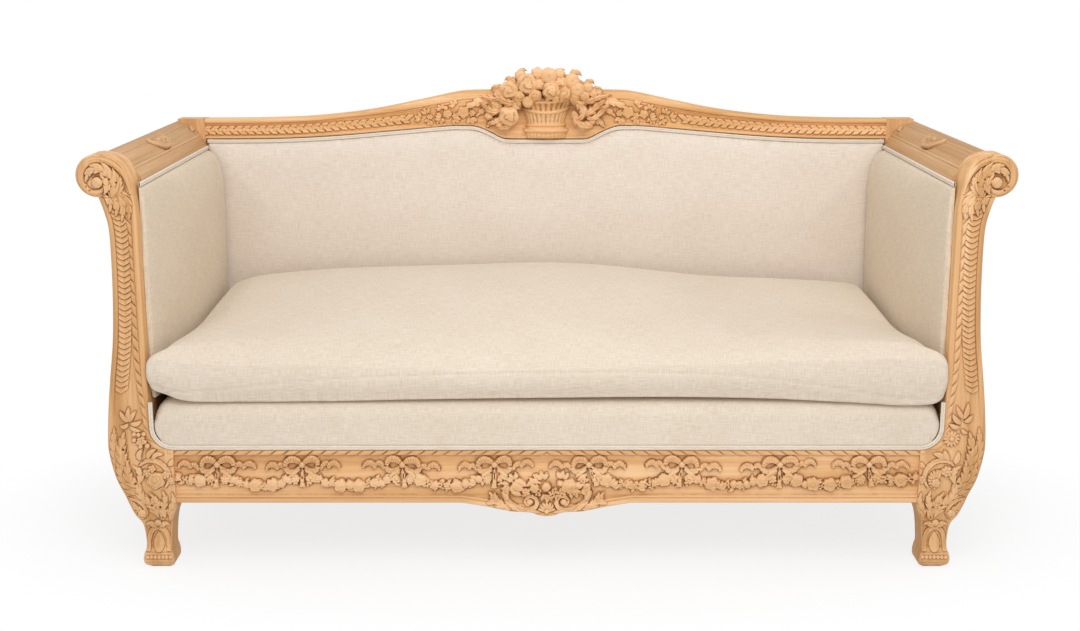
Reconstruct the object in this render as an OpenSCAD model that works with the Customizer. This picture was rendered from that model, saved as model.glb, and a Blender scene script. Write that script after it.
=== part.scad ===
// Carved wooden settee with upholstered arms and back, a sprung seat deck and one loose cushion.
// Millimetres, +Z up, -Y to the front. The origin is on the floor, in the middle of width and depth.
// Pieces of one side are drawn on the +X side, and mirrored for the other.
// Distances called "out" run outwards from the plane of the front post's inner face.

/* [Overall] */
// Clear width between the inner faces of the two front posts
seat_w = 1532; // [1300:1:1800]
// Depth from the front of the knees to the heels of the rear legs
overall_d = 716; // [660:1:800]
// Height of the arm scroll's top above the floor
arm_h = 816; // [780:1:860]
// Height of the seat rails' underside above the floor
leg_h = 135; // [115:1:155]
// Height of the seat rails
rail_h = 109; // [95:1:125]
// Height of the sprung deck above the seat rails
deck_h = 96; // [80:1:110]

/* [Front posts] */
// Thickness of the front post, front to back
post_t = 62; // [54:1:72]
// Out to the centre of the scroll
scroll_out = 69; // [62:1:76]
// Radius of the scroll
scroll_r = 40; // [36:1:44]
// Out to the post's outer edge at its narrow waist
waist_out = 53; // [48:1:60]
// Out to the post's outer edge at the knee
knee_out = 82; // [74:1:90]
// How far the knee swells forward of the post's face
knee_forward = 8; // [4:1:12]
// Width of the leg at its ankle
ankle_w = 50; // [44:1:58]
// Width of the foot block
foot_w = 62; // [58:1:70]
// Height of the foot block
foot_h = 42; // [34:1:50]
// Radius of the inner corner where the post meets the front rail
corner_r = 44; // [36:1:50]

/* [Rails] */
// Thickness of the seat rails
rail_t = 36; // [30:1:40]
// How deep the front rail's middle panel is cut back
panel_recess = 4; // [2:0.5:6]
// Height of the moulding along the front rail's top
top_bead_h = 11; // [8:1:14]
// Height of the moulding along the front rail's bottom
bottom_bead_h = 15; // [11:1:19]
// How far the front rail's middle drops into a point
apron_drop = 28; // [20:1:36]
// Half the width of that drop
apron_half_w = 165; // [130:1:200]
// Length of the rails' tenons
tenon_l = 28; // [22:1:30]
// Thickness of the rails' tenons
tenon_t = 12; // [10:1:14]

/* [Back] */
// Thickness of the top rail
top_rail_t = 45; // [38:1:52]
// Height of the top rail at its ends
top_rail_end_h = 45; // [38:1:52]
// How far the middle of the top rail rises above its ends
camel_rise = 66; // [50:1:80]
// How far the upholstered edge rises at the shoulders
shoulder_rise = 30; // [22:1:36]
// How far the back leans from seat to top rail
back_lean = 32; // [20:1:44]
// Width of the rear posts
rear_post_w = 62; // [54:1:66]
// Thickness of the rear posts at the seat
rear_post_t = 60; // [54:1:66]
// How far the heel stands behind the top rail
heel_back = 26; // [18:1:34]
// How far the carved crest rises above the top rail's middle
crest_rise = 50; // [40:1:60]
// Half the width of the crest's flower basket
crest_half_w = 132; // [115:1:150]

/* [Arms] */
// Radius of the arm rail's outer roll
roll_r = 34; // [28:1:35]
// Size of the lower arm rail and the arm strut, out from the inner face
arm_frame_t = 30; // [24:1:36]
// Height of the lower arm rail
arm_lower_h = 40; // [32:1:50]
// Thickness of the outside panels
panel_t = 4; // [3:0.5:5]

/* [Upholstery] */
// Thickness of the back pad at its edge
back_edge_t = 12; // [8:1:16]
// Crown of the back pad beyond its edge
back_crown = 34; // [24:1:42]
// Thickness of the arm pad at its edge
arm_edge_t = 6; // [4:1:9]
// Crown of the arm pad beyond its edge
arm_crown = 16; // [10:1:20]
// How much fuller the arm pad is at the back corner
arm_rear_swell = 23; // [14:1:28]
// Width of the double piping
gimp_w = 8; // [6:0.5:10]
// Thickness of the double piping
gimp_t = 5; // [4:0.5:6]
// Height of the coil springs
spring_h = 148; // [135:1:150]
// Radius of the coil springs at their ends
spring_end_r = 46; // [40:1:48]
// Radius of the coil springs at their waist
spring_waist_r = 32; // [26:1:36]
// Diameter of the spring wire
wire_d = 4; // [3:0.5:5]
// Turns of wire in a spring
spring_turns = 4; // [3:1:5]

/* [Loose cushion] */
// Thickness of the cushion at its front edge
cushion_edge_h = 100; // [80:1:110]
// How far the cushion's middle rises above its front edge
cushion_crown = 72; // [50:1:90]
// How far the corners of the cushion lift off the deck
corner_lift = 14; // [8:1:18]
// Thickness of the cushion's case and ticking
case_t = 6; // [5:0.5:8]

/* [Hidden] */

wood = "#d9a872";
wood_inner = "#c99b68";
linen = "#e4d6c1";
piping = "#d8c8b0";
jute = "#b08d5b";
steel = "#9a9da0";

$fn = 48;
curve_steps = 4;        // straight steps in each span of a smooth curve
overrun = 1;            // how far a cut runs past the face it opens
joint_gap = 0.1;        // room round tenons, pegs and screws
soft_gap = 0.3;         // room between a soft piece and its neighbour

half_in = seat_w / 2;
rail_top = leg_h + rail_h;
deck_top = rail_top + deck_h;
face_y = knee_forward - overall_d / 2;
post_back_y = face_y + post_t;
heel_y = overall_d / 2;
top_rail_back_y = heel_y - heel_back;
top_rail_y = top_rail_back_y - top_rail_t;
seat_back_y = top_rail_y - back_lean;
scroll_z = arm_h - scroll_r;
seam_x = half_in - corner_r;

// Where the leaning front plane of the back frame is, at a height
function lean_y(z) = seat_back_y + back_lean * max(0, z - rail_top) / (arm_h - rail_top);

// A point a share t of the way from b to c, on a smooth curve that also heeds a and d
function curve_point(a, b, c, d, t) =
    0.5 * (2 * b + (c - a) * t + (2 * a - 5 * b + 4 * c - d) * t * t + (3 * b - a - 3 * c + d) * t * t * t);

// A smooth open curve through hand-chosen points
function smooth(p) = [
    for (i = [0 : len(p) - 2])
        for (k = [0 : curve_steps - 1])
            curve_point(p[max(i - 1, 0)], p[i], p[i + 1], p[min(i + 2, len(p) - 1)], k / curve_steps),
    p[len(p) - 1]
];

function reversed(p) = [for (i = [len(p) - 1 : -1 : 0]) p[i]];
function mirrored(p) = [for (q = reversed(p)) [-q[0], q[1]]];

// Points of an arc about c from angle a0 to a1
function arc(c, r, a0, a1, n) = [for (i = [0 : n]) c + r * [cos(a0 + (a1 - a0) * i / n), sin(a0 + (a1 - a0) * i / n)]];

// A flat outline of (x, z) points given thickness from y0 to y1
module slab_xz(y0, y1) {
    translate([0, y1, 0]) rotate([90, 0, 0]) linear_extrude(y1 - y0) children();
}

// A flat outline of (y, z) points given thickness from x0 to x1
module slab_yz(x0, x1) {
    translate([x0, 0, 0]) rotate([90, 0, 90]) linear_extrude(x1 - x0) children();
}

// A box between two opposite corners
module block(low, high) {
    translate(low) cube(high - low);
}

// The same piece on the other side of the settee
module other_side() {
    mirror([1, 0, 0]) children();
}

// A skin over rings of equal length, that run anticlockwise seen from the last, closed to a point at each end
module skin(rings, first, last) {
    n = len(rings[0]);
    m = len(rings);
    points = concat([first], [for (r = rings) each r], [last]);
    polyhedron(points, concat(
        [for (i = [0 : n - 1]) [0, 1 + i, 1 + (i + 1) % n]],
        [for (k = [0 : m - 2]) for (i = [0 : n - 1]) each [
            [1 + k * n + i, 1 + (k + 1) * n + i, 1 + (k + 1) * n + (i + 1) % n],
            [1 + k * n + i, 1 + (k + 1) * n + (i + 1) % n, 1 + k * n + (i + 1) % n]]],
        [for (i = [0 : n - 1]) [m * n + 1, 1 + (m - 1) * n + (i + 1) % n, 1 + (m - 1) * n + i]]));
}

/* Front post: scroll, waist, knee, leg and foot are one timber. */

ankle_out = ankle_w / 2;
foot_out = foot_w / 2;
foot_shift = 4;             // how far the foot's middle stands inside the plane of the inner face
// Outer edge of leg and foot: shares of the foot's half width, and of the height of leg or foot block
foot_outer_shares = [[0.64, 0], [0.9, 0.17], [0.98, 0.45], [0.9, 0.78]];
leg_outer_shares = [[0.86, 0.34], [0.86, 0.52], [1.04, 0.7], [1.6, 0.83], [1.84, 0.95]];
leg_inner_shares = [[1.18, 0.34], [1.22, 0.5], [1.32, 0.66], [1.66, 0.9]];
// Outer edge above the rail's underside: shares of the swing from waist to knee, and of the height to the scroll
body_outer_shares = [[0.06, 0.03], [0.48, 0.075], [0.86, 0.14], [1, 0.2], [0.83, 0.3], [0.59, 0.39],
                     [0.24, 0.51], [0.07, 0.63], [0, 0.75], [0.03, 0.845], [0.28, 0.9], [0.52, 0.935]];
// Where the straight inner edge ends, and how it flares into the scroll: shares of scroll centre and radius
flare_shares = [[0, -2], [0.06, -0.9], [0.14, -0.08], [0.32, 0.53], [0.58, 0.87], [0.86, 0.99]];

function foot_outer() = [for (s = foot_outer_shares) [s[0] * foot_out - foot_shift, s[1] * foot_h]];
function leg_outer() = [for (s = leg_outer_shares) [s[0] * ankle_out, s[1] * leg_h]];
function body_outer() = [for (s = body_outer_shares)
    [waist_out + s[0] * (knee_out - waist_out), leg_h + s[1] * (scroll_z - leg_h)]];

// Front outline of the post, in (out, z)
function post_outline() = concat(
    smooth(concat(foot_outer(), leg_outer(), body_outer())),
    [[scroll_out, scroll_z]],
    smooth([for (s = reversed(flare_shares)) [s[0] * scroll_out, scroll_z + s[1] * scroll_r]]),
    arc([-corner_r, rail_top + corner_r], corner_r, 0, -90, 8),
    [[-corner_r, leg_h]],
    [for (s = reversed(leg_inner_shares)) [-s[0] * ankle_out, s[1] * leg_h]],
    [for (s = reversed(foot_outer_shares)) [-s[0] * foot_out - foot_shift, s[1] * foot_h]]);

// Side outline of the post: shares of its thickness or of the knee's swell, against height
knee_z_shares = [0.1, 0.55, 1.25];
function post_side() = concat(
    [[face_y + foot_heel_shares[0] * post_t, 0]],
    [[face_y + foot_toe_shares[1] * knee_forward, foot_toe_z_shares[1] * foot_h]],
    smooth([[face_y + foot_toe_shares[2] * knee_forward, foot_toe_z_shares[2] * foot_h],
            [face_y + ankle_shares[0] * post_t, ankle_shares[1] * leg_h],
            [face_y, leg_h + knee_z_shares[0] * rail_h],
            [face_y - knee_forward, leg_h + knee_z_shares[1] * rail_h],
            [face_y, leg_h + knee_z_shares[2] * rail_h]]),
    [[face_y, arm_h + overrun], [post_back_y, arm_h + overrun], [post_back_y, leg_h]],
    [[post_back_y - ankle_shares[0] * post_t, ankle_shares[1] * leg_h]],
    [[post_back_y, foot_toe_z_shares[2] * foot_h], [post_back_y, foot_toe_z_shares[1] * foot_h]],
    [[post_back_y - foot_heel_shares[0] * post_t, 0]]);
foot_heel_shares = [0.15];
foot_toe_shares = [0, -0.5, -0.4];
foot_toe_z_shares = [0, 0.3, 0.9];
ankle_shares = [0.1, 0.6];

dowel_r = 5;
dowel_l = 60;
dowel_out_share = 0.85;     // of the distance out to the scroll's centre

module arm_dowel_at(y, room) {
    translate([half_in + dowel_out_share * scroll_out, y - dowel_l / 2 - room, scroll_z])
        rotate([-90, 0, 0]) cylinder(r = dowel_r + room, h = dowel_l + 2 * room);
}

module front_post() {
    color(wood) difference() {
        union() {
            intersection() {
                translate([half_in, 0, 0]) slab_xz(face_y - knee_forward, post_back_y)
                    polygon(post_outline());
                slab_yz(half_in - 2 * corner_r, half_in + 2 * knee_out) polygon(post_side());
            }
            translate([half_in + scroll_out, post_back_y, scroll_z])
                rotate([90, 0, 0]) cylinder(r = scroll_r, h = post_t);
        }
        front_tenon(joint_gap);
        side_tenon(post_back_y, joint_gap);
        front_pegs(joint_gap / 2);
        arm_dowel_at(post_back_y, joint_gap / 2);
    }
}

/* Seat rails with their tenons, which the posts are cut for. */

web_lap = 20;               // how far the seat's webbing runs under its rail
tenon_h_share = 0.7;
tenon_h = rail_h * tenon_h_share;
tenon_z = leg_h + (rail_h - tenon_h) / 2;
front_rail_back_y = face_y + panel_recess + rail_t;
front_tenon_share = 0.2;
front_tenon_y = front_rail_back_y - rail_t * front_tenon_share - tenon_t;
rear_post_in = 4;
rear_post_out = rear_post_in + rear_post_w;
side_rail_out = rear_post_out - rail_t;
side_tenon_out = side_rail_out + (rail_t - tenon_t) / 2;
side_tenon_share = 0.8;
side_tenon_l = tenon_l * side_tenon_share;

// Tenon of the front rail in the right-hand post
module front_tenon(room) {
    block([seam_x - overrun, front_tenon_y - room, tenon_z - room],
          [seam_x + tenon_l + room, front_tenon_y + tenon_t + room, tenon_z + tenon_h + room]);
}

// Tenon of the side rail that enters a post at y; the rail's other end calls it with its own face
module side_tenon(y, room) {
    block([half_in + side_tenon_out - room, y - side_tenon_l - room, tenon_z - room],
          [half_in + side_tenon_out + tenon_t + room, y + side_tenon_l + room, tenon_z + tenon_h + room]);
}

// Half the front rail's outline, from the middle of its pointed drop outwards
apron_shares = [[0, 1], [0.09, 0.93], [0.2, 0.72], [0.42, 0.64], [0.7, 0.3], [1, 0]];
function apron_edge() = smooth([for (s = apron_shares) [s[0] * apron_half_w, leg_h - s[1] * apron_drop]]);
function front_rail_outline() = concat(mirrored(apron_edge()), apron_edge(),
    [[seam_x, leg_h], [seam_x, rail_top], [-seam_x, rail_top], [-seam_x, leg_h]]);

module front_seat_rail() {
    color(wood) difference() {
        union() {
            slab_xz(face_y + panel_recess, front_rail_back_y) polygon(front_rail_outline());
            block([-seam_x, face_y, rail_top - top_bead_h], [seam_x, face_y + panel_recess, rail_top]);
            slab_xz(face_y, face_y + panel_recess) intersection() {
                polygon(front_rail_outline());
                translate([-seam_x, leg_h - apron_drop]) square([2 * seam_x, apron_drop + bottom_bead_h]);
            }
            for (side = [0, 1]) mirror([side, 0, 0]) front_tenon(0);
        }
        block([-apron_half_w - overrun, front_rail_back_y - web_lap - soft_gap, leg_h - apron_drop - overrun],
              [apron_half_w + overrun, front_rail_back_y + overrun, leg_h]);
        for (side = [0, 1]) mirror([side, 0, 0]) front_pegs(joint_gap / 2);
        brace_holes();
    }
}

rear_rail_setback = 7;      // behind the rear posts' front face
rear_rail_y = seat_back_y + rear_rail_setback;
rear_tenon_y = rear_rail_y + (rail_t - tenon_t) / 2;

module rear_tenon(room) {
    block([half_in + rear_post_in - overrun, rear_tenon_y - room, tenon_z - room],
          [half_in + rear_post_in + tenon_l + room, rear_tenon_y + tenon_t + room, tenon_z + tenon_h + room]);
}

module rear_seat_rail() {
    color(wood_inner) difference() {
        union() {
            block([-half_in - rear_post_in, rear_rail_y, leg_h], [half_in + rear_post_in, rear_rail_y + rail_t, rail_top]);
            for (side = [0, 1]) mirror([side, 0, 0]) rear_tenon(0);
        }
        for (side = [0, 1]) mirror([side, 0, 0]) rear_pegs(joint_gap / 2);
        brace_holes();
    }
}

module side_seat_rail() {
    color(wood) difference() {
        union() {
            block([half_in + side_rail_out, post_back_y, leg_h], [half_in + rear_post_out, seat_back_y, rail_top]);
            side_tenon(post_back_y, 0);
            side_tenon(seat_back_y, 0);
        }
        brace_holes();
    }
}

cross_rail_share = 0.183;   // where the cross rails stand, of half the clear width
cross_rail_w = 40;
cross_rail_h = 34;

module cross_rail() {
    color(wood_inner) block([half_in * cross_rail_share - cross_rail_w / 2, front_rail_back_y, leg_h],
                            [half_in * cross_rail_share + cross_rail_w / 2, rear_rail_y, leg_h + cross_rail_h]);
}

/* Corner braces: a bar across each corner of the seat frame, screwed to both rails. */

brace_run = 150;            // along each rail, from the side rail's inner face
brace_w = 42;               // measured along the rails
brace_h = 40;
brace_z = leg_h + (rail_h - brace_h) / 2;
screw_r = 2.2;
screw_head_r = 4.5;
screw_l = 36;
screw_inset = 14;           // from the brace's end to the screw
screw_head_share = 0.5;     // depth of the head's seat, of the brace's width

// One brace in the front right-hand corner of a frame whose rails meet at (x, y); dir is 1 at the front
module brace_bar(x, y, dir) {
    translate([0, 0, brace_z]) linear_extrude(brace_h) polygon([
        [x - brace_run, y], [x - brace_run + brace_w, y],
        [x, y + dir * (brace_run - brace_w)], [x, y + dir * brace_run]]);
}

module screw_pair(x, y, dir, room) {
    seat = brace_w * screw_head_share;
    translate([x - brace_run + brace_w - screw_inset, y + dir * (seat - screw_inset), brace_z + brace_h / 2])
        mirror([0, dir > 0 ? 0 : 1, 0]) screw_solid(room);
    translate([x - seat + screw_inset, y + dir * (brace_run - brace_w + screw_inset), brace_z + brace_h / 2])
        rotate([0, 0, 90]) screw_solid(room);
}

// The screw's shank runs along -Y from the origin, and its head behind it
screw_head_h = 4;
module screw_solid(room) {
    rotate([90, 0, 0]) cylinder(r = screw_r + room, h = screw_l + room);
    rotate([-90, 0, 0]) cylinder(r = screw_head_r + room, h = room > 0 ? brace_w : screw_head_h);
}

module brace_screws_at_front(room) {
    screw_pair(half_in + side_rail_out, front_rail_back_y, 1, room);
}
module brace_screws_at_rear(room) {
    screw_pair(half_in + side_rail_out, rear_rail_y, -1, room);
}
module brace_holes() {
    for (side = [0, 1]) mirror([side, 0, 0]) {
        brace_screws_at_front(joint_gap / 2);
        brace_screws_at_rear(joint_gap / 2);
    }
}

module corner_braces() {
    color(wood_inner) difference() {
        for (side = [0, 1]) mirror([side, 0, 0]) {
            brace_bar(half_in + side_rail_out, front_rail_back_y, 1);
            brace_bar(half_in + side_rail_out, rear_rail_y, -1);
        }
        brace_holes();
    }
}

module brace_screws() {
    color(steel) for (side = [0, 1]) mirror([side, 0, 0]) {
        brace_screws_at_front(0);
        brace_screws_at_rear(0);
    }
}

/* Rear posts: raked leg, straight seat stretch, and a stile that leans back. */

heel_t = 45;
corner_rise = 2;            // how far the back's corners stand above the arm scrolls
top_z = arm_h + corner_rise;

function rear_post_side() = [
    [heel_y - heel_t, 0], [heel_y, 0], [seat_back_y + rear_post_t, leg_h], [seat_back_y + rear_post_t, rail_top],
    [top_rail_back_y, top_z - top_rail_end_h], [top_rail_back_y, top_z],
    [top_rail_y, top_z], [lean_y(arm_h), arm_h], [seat_back_y, rail_top], [seat_back_y, leg_h]];

module rear_post() {
    color(wood) difference() {
        slab_yz(half_in + rear_post_in, half_in + rear_post_out) polygon(rear_post_side());
        rear_tenon(joint_gap);
        side_tenon(seat_back_y, joint_gap);
        top_tenon(joint_gap);
        lower_tenon(joint_gap);
        rear_pegs(joint_gap / 2);
        top_pegs(joint_gap / 2);
        arm_dowel_at(lean_y(scroll_z), joint_gap / 2);
    }
}

/* Top rail: camel-backed above, and shouldered below round the flower basket. */

top_half_w = half_in + rear_post_in;
camel_shares = [[0, 1], [0.195, 0.97], [0.26, 0.91], [0.377, 0.62], [0.52, 0.3], [0.68, 0.09], [0.83, 0.02], [1, 0]];
shoulder_shares = [[0, 0], [0.1, 0], [0.13, 0.1], [0.165, 0.55], [0.205, 0.95], [0.25, 1], [0.29, 0.97],
                   [0.455, 0.6], [0.63, 0.23], [0.8, 0.03], [1, 0]];
under_z = top_z - top_rail_end_h;
function camel_edge() = smooth([for (s = camel_shares) [s[0] * top_half_w, top_z + s[1] * camel_rise]]);
function shoulder_edge() = smooth([for (s = shoulder_shares) [s[0] * top_half_w, under_z + s[1] * shoulder_rise]]);
function top_rail_outline() = concat(shoulder_edge(), reversed(camel_edge()), mirrored(reversed(camel_edge())),
                                     mirrored(shoulder_edge()));
top_tenon_share = 0.6;
tenon_top_h = top_rail_end_h * top_tenon_share;
top_tenon_y = top_rail_y + (top_rail_t - tenon_t) / 2;
top_tenon_z = under_z + (top_rail_end_h - tenon_top_h) / 2;

module top_tenon(room) {
    block([top_half_w - overrun, top_tenon_y - room, top_tenon_z - room],
          [top_half_w + tenon_l + room, top_tenon_y + tenon_t + room, top_tenon_z + tenon_top_h + room]);
}

module top_rail() {
    color(wood) difference() {
        union() {
            slab_xz(top_rail_y, top_rail_back_y) polygon(top_rail_outline());
            for (side = [0, 1]) mirror([side, 0, 0]) top_tenon(0);
        }
        for (side = [0, 1]) mirror([side, 0, 0]) top_pegs(joint_gap / 2);
    }
}

/* Crest: a basket of flowers on a plinth, with leafy wings, fixed on the top rail. */

crest_relief = 26;
crest_top = top_z + camel_rise + crest_rise;
// Flowers and fruit: shares of half width, of the height from the rail's underside to the top, and of the rise
flower_shares = [[0, 0.835, 0.53], [0.29, 0.815, 0.46], [0.56, 0.75, 0.44], [0.78, 0.655, 0.38], [0.95, 0.57, 0.26],
                 [0, 0.63, 0.46], [0.31, 0.6, 0.42], [0.6, 0.53, 0.42]];
// Berries and leaves of the wings: places as above, then radius, or length, width and angle of a leaf
berry_shares = [[1.12, 0.49, 0.2], [1.42, 0.42, 0.18], [1.7, 0.4, 0.17], [1.98, 0.36, 0.13]];
leaf_shares = [[0.86, 0.42, 0.9, 0.34, -6], [0.98, 0.4, 0.8, 0.32, 28], [1.3, 0.4, 0.76, 0.3, -24],
               [1.5, 0.38, 0.7, 0.3, 20], [1.75, 0.35, 0.76, 0.26, -4]];
leaf_half_shares = [[0, 0], [0.2, 0.34], [0.45, 0.5], [0.72, 0.32], [1, 0]];
leaf_relief_share = 0.3;        // of the crest's relief
basket_shares = [[0.39, 0.25], [0.53, 0.46]];
plinth_shares = [[0.45, 0.02], [0.39, 0.25]];
plinth_relief_share = 0.7;      // of the crest's relief
board_shares = [[0.5, 0.3], [0.98, 0.46], [1.02, 0.58], [0.84, 0.72], [0.62, 0.85], [0.36, 0.93], [0, 0.97]];
board_front_share = 0.3;        // of the crest's relief
board_back_share = 0.6;         // of the top rail's thickness

function crest_point(s) = [s[0] * crest_half_w, under_z + s[1] * (crest_top - under_z)];
function crest_outline(shares) = concat([for (s = shares) crest_point(s)],
                                        [for (s = reversed(shares)) crest_point([-s[0], s[1]])]);

// Flowers and berries as steps that grow smaller towards the front: shares of radius and of the crest's relief
bud_step_shares = [[1, 0.4], [0.76, 0.75], [0.45, 1]];
bud_sides = 12;

module bud_step(k) {
    slab_xz(top_rail_y - bud_step_shares[k][1] * crest_relief,
            k > 0 ? top_rail_y - bud_step_shares[k - 1][1] * crest_relief
                  : top_rail_y + board_back_share * top_rail_t)
        for (s = flower_shares) for (x = s[0] > 0 ? [-1, 1] : [1])
            translate([x * crest_point(s)[0], crest_point(s)[1]])
                circle(s[2] * crest_rise * bud_step_shares[k][0], $fn = bud_sides);
}

module berry(s) {
    translate([crest_point(s)[0], top_rail_y, crest_point(s)[1]])
        rotate([90, 0, 0]) cylinder(r = s[2] * crest_rise, h = bud_step_shares[0][1] * crest_relief, $fn = bud_sides);
}

module crest_leaf(s) {
    half = [for (q = leaf_half_shares) [q[0] * s[2] * crest_rise, q[1] * s[3] * crest_rise]];
    slab_xz(top_rail_y - leaf_relief_share * crest_relief, top_rail_y)
        translate(crest_point(s)) rotate(s[4])
            polygon(concat(half, [for (q = reversed(half)) [q[0], -q[1]]]));
}

module crest_carving() {
    color(wood) difference() {
        union() {
            for (side = [0, 1]) mirror([side, 0, 0]) {
                for (s = berry_shares) berry(s);
                for (s = leaf_shares) crest_leaf(s);
            }
            for (k = [0 : len(bud_step_shares) - 1]) bud_step(k);
            slab_xz(top_rail_y - board_front_share * crest_relief, top_rail_y + board_back_share * top_rail_t)
                polygon(crest_outline(board_shares));
            slab_xz(top_rail_y - plinth_relief_share * crest_relief, top_rail_y) polygon(crest_outline(plinth_shares));
            slab_xz(top_rail_y - crest_relief, top_rail_y) polygon(crest_outline(basket_shares));
        }
        slab_xz(top_rail_y, top_rail_back_y + overrun) polygon(top_rail_outline());
    }
}

/* Back frame between the rear posts. */

lower_rail_rise = 15;
lower_rail_z = deck_top + lower_rail_rise;
lower_rail_h = 44;
back_frame_t = 36;
strut_w = 30;
strut_share = 0.335;        // where the struts stand, of half the clear width

// Leaning outline of a back frame member between two heights
function lean_outline(z0, z1, t) = [[lean_y(z0), z0], [lean_y(z0) + t, z0], [lean_y(z1) + t, z1], [lean_y(z1), z1]];

lower_tenon_y = lean_y(lower_rail_z) + (back_frame_t - tenon_t) / 2;
lower_tenon_h = lower_rail_h * tenon_h_share;
module lower_tenon(room) {
    block([top_half_w - overrun, lower_tenon_y - room, lower_rail_z + (lower_rail_h - lower_tenon_h) / 2 - room],
          [top_half_w + tenon_l + room, lower_tenon_y + tenon_t + room,
           lower_rail_z + (lower_rail_h + lower_tenon_h) / 2 + room]);
}

module back_lower_rail() {
    color(wood_inner) union() {
        slab_yz(-top_half_w, top_half_w) polygon(lean_outline(lower_rail_z, lower_rail_z + lower_rail_h, back_frame_t));
        for (side = [0, 1]) mirror([side, 0, 0]) lower_tenon(0);
    }
}

module back_strut() {
    color(wood_inner) difference() {
        slab_yz(half_in * strut_share - strut_w / 2, half_in * strut_share + strut_w / 2)
            polygon(lean_outline(lower_rail_z + lower_rail_h, top_z, back_frame_t));
        above_top_rail_edge(0);
    }
}

// Everything above the top rail's underside, to trim what ends against it
module above_top_rail_edge(room) {
    slab_xz(seat_back_y - overrun, heel_y) polygon(concat(
        mirrored([for (p = shoulder_edge()) [p[0], p[1] - room]]),
        [for (p = shoulder_edge()) [p[0], p[1] - room]],
        [[top_half_w, arm_h + overall_d], [-top_half_w, arm_h + overall_d]]));
}

/* Pegs and dowels. */

peg_r = 4;
peg_past = 6;                   // how far a peg goes past its tenon
peg_z_shares = [0.3, 0.7];      // of the tenon's height
peg_x_share = 0.5;              // of the tenon's length

// A peg driven forward from a post's back face at y, through a tenon whose front face is at tenon_y
module peg(x, y, z, tenon_y, room) {
    l = y - tenon_y + peg_past;
    translate([x, y - l - room, z]) rotate([-90, 0, 0]) cylinder(r = peg_r + room, h = l + (room > 0 ? overrun : 0));
}

module front_pegs(room) {
    for (s = peg_z_shares)
        peg(seam_x + peg_x_share * tenon_l, post_back_y, tenon_z + s * tenon_h, front_tenon_y, room);
}
module rear_pegs(room) {
    for (s = peg_z_shares)
        peg(half_in + rear_post_in + peg_x_share * tenon_l, seat_back_y + rear_post_t, tenon_z + s * tenon_h,
            rear_tenon_y, room);
}
module top_pegs(room) {
    peg(top_half_w + peg_x_share * tenon_l, top_rail_back_y, under_z + top_rail_end_h / 2, top_tenon_y, room);
}

module joint_pegs() {
    color(wood_inner) for (side = [0, 1]) mirror([side, 0, 0]) {
        front_pegs(0);
        rear_pegs(0);
        top_pegs(0);
    }
}

module arm_dowels() {
    color(wood_inner) for (side = [0, 1]) mirror([side, 0, 0]) {
        arm_dowel_at(post_back_y, 0);
        arm_dowel_at(lean_y(scroll_z), 0);
    }
}

/* Arms. */

// Section of the arm's top rail in (out, z): inner edge, rise to the ridge, roll, and flat underside
arm_top_z = scroll_z + roll_r;
arm_under_z = scroll_z - roll_r;
arm_inner_out = 1;
arm_edge_rise = 10;
// The slope from inner edge to ridge: shares of the way out to the scroll's centre, and up to the ridge
arm_slope_shares = [[0, 0.22], [0.16, 0.52], [0.4, 0.8], [0.68, 0.95]];

function arm_section() = concat(
    [[arm_inner_out, arm_under_z]],
    arc([scroll_out, scroll_z], roll_r, -90, 90, 16),
    smooth([for (s = reversed(arm_slope_shares))
        [arm_inner_out + s[0] * scroll_out, arm_under_z + s[1] * (arm_top_z - arm_under_z)]]));

module arm_top_rail() {
    color(wood) difference() {
        translate([half_in, 0, 0]) slab_xz(post_back_y, top_rail_back_y) polygon(arm_section());
        slab_yz(half_in - overrun, half_in + rear_post_out) polygon([
            [lean_y(rail_top), rail_top], [lean_y(arm_h), arm_h], [heel_y, arm_h], [heel_y, rail_top]]);
        arm_dowel_at(post_back_y, joint_gap / 2);
        arm_dowel_at(lean_y(scroll_z), joint_gap / 2);
    }
}

arm_frame_out = soft_gap;
arm_lower_z = deck_top - arm_lower_h;

module arm_lower_rail() {
    color(wood_inner) difference() {
        block([half_in + arm_frame_out, post_back_y, arm_lower_z],
              [half_in + arm_frame_out + arm_frame_t, lean_y(arm_lower_z + arm_lower_h), deck_top]);
        behind_rear_post();
    }
}

// Everything behind the rear post's leaning front face, to trim what ends against it
module behind_rear_post() {
    slab_yz(half_in - overrun, half_in + scroll_out + scroll_r) polygon([
        [lean_y(rail_top), rail_top - overrun], [lean_y(rail_top), rail_top], [lean_y(arm_h), arm_h],
        [heel_y, arm_h], [heel_y, rail_top - overrun]]);
}

arm_strut_w = 40;
module arm_strut() {
    color(wood_inner) block([half_in + arm_frame_out + arm_inner_out, -arm_strut_w / 2, deck_top],
                            [half_in + arm_frame_out + arm_frame_t, arm_strut_w / 2, arm_under_z]);
}

// Outside panel of the arm, in (out, z): a thin band that follows the post's outer edge
panel_inset = 6;
panel_out_shares = [[0.05, 0], [0.2, 0.2], [0.2, 0.42], [0.05, 0.66], [0, 0.85], [0.1, 1]];
function panel_edge(inset) = smooth([for (s = panel_out_shares)
    [waist_out - panel_inset - inset + s[0] * (knee_out - waist_out), rail_top + s[1] * (arm_under_z - rail_top)]]);

module outside_arm_panel() {
    color(linen) difference() {
        translate([half_in, 0, 0]) slab_xz(post_back_y, top_rail_y)
            polygon(concat(panel_edge(0), reversed(panel_edge(panel_t))));
        behind_rear_post();
    }
}

module outside_back_panel() {
    color(linen) difference() {
        translate([0, back_frame_t + joint_gap, 0]) slab_yz(-half_in, half_in) polygon(lean_outline(rail_top, top_z, panel_t));
        above_top_rail_edge(0);
    }
}

/* Back pad and arm pads: flat behind, rolled at the edge and crowned in front. */

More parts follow.
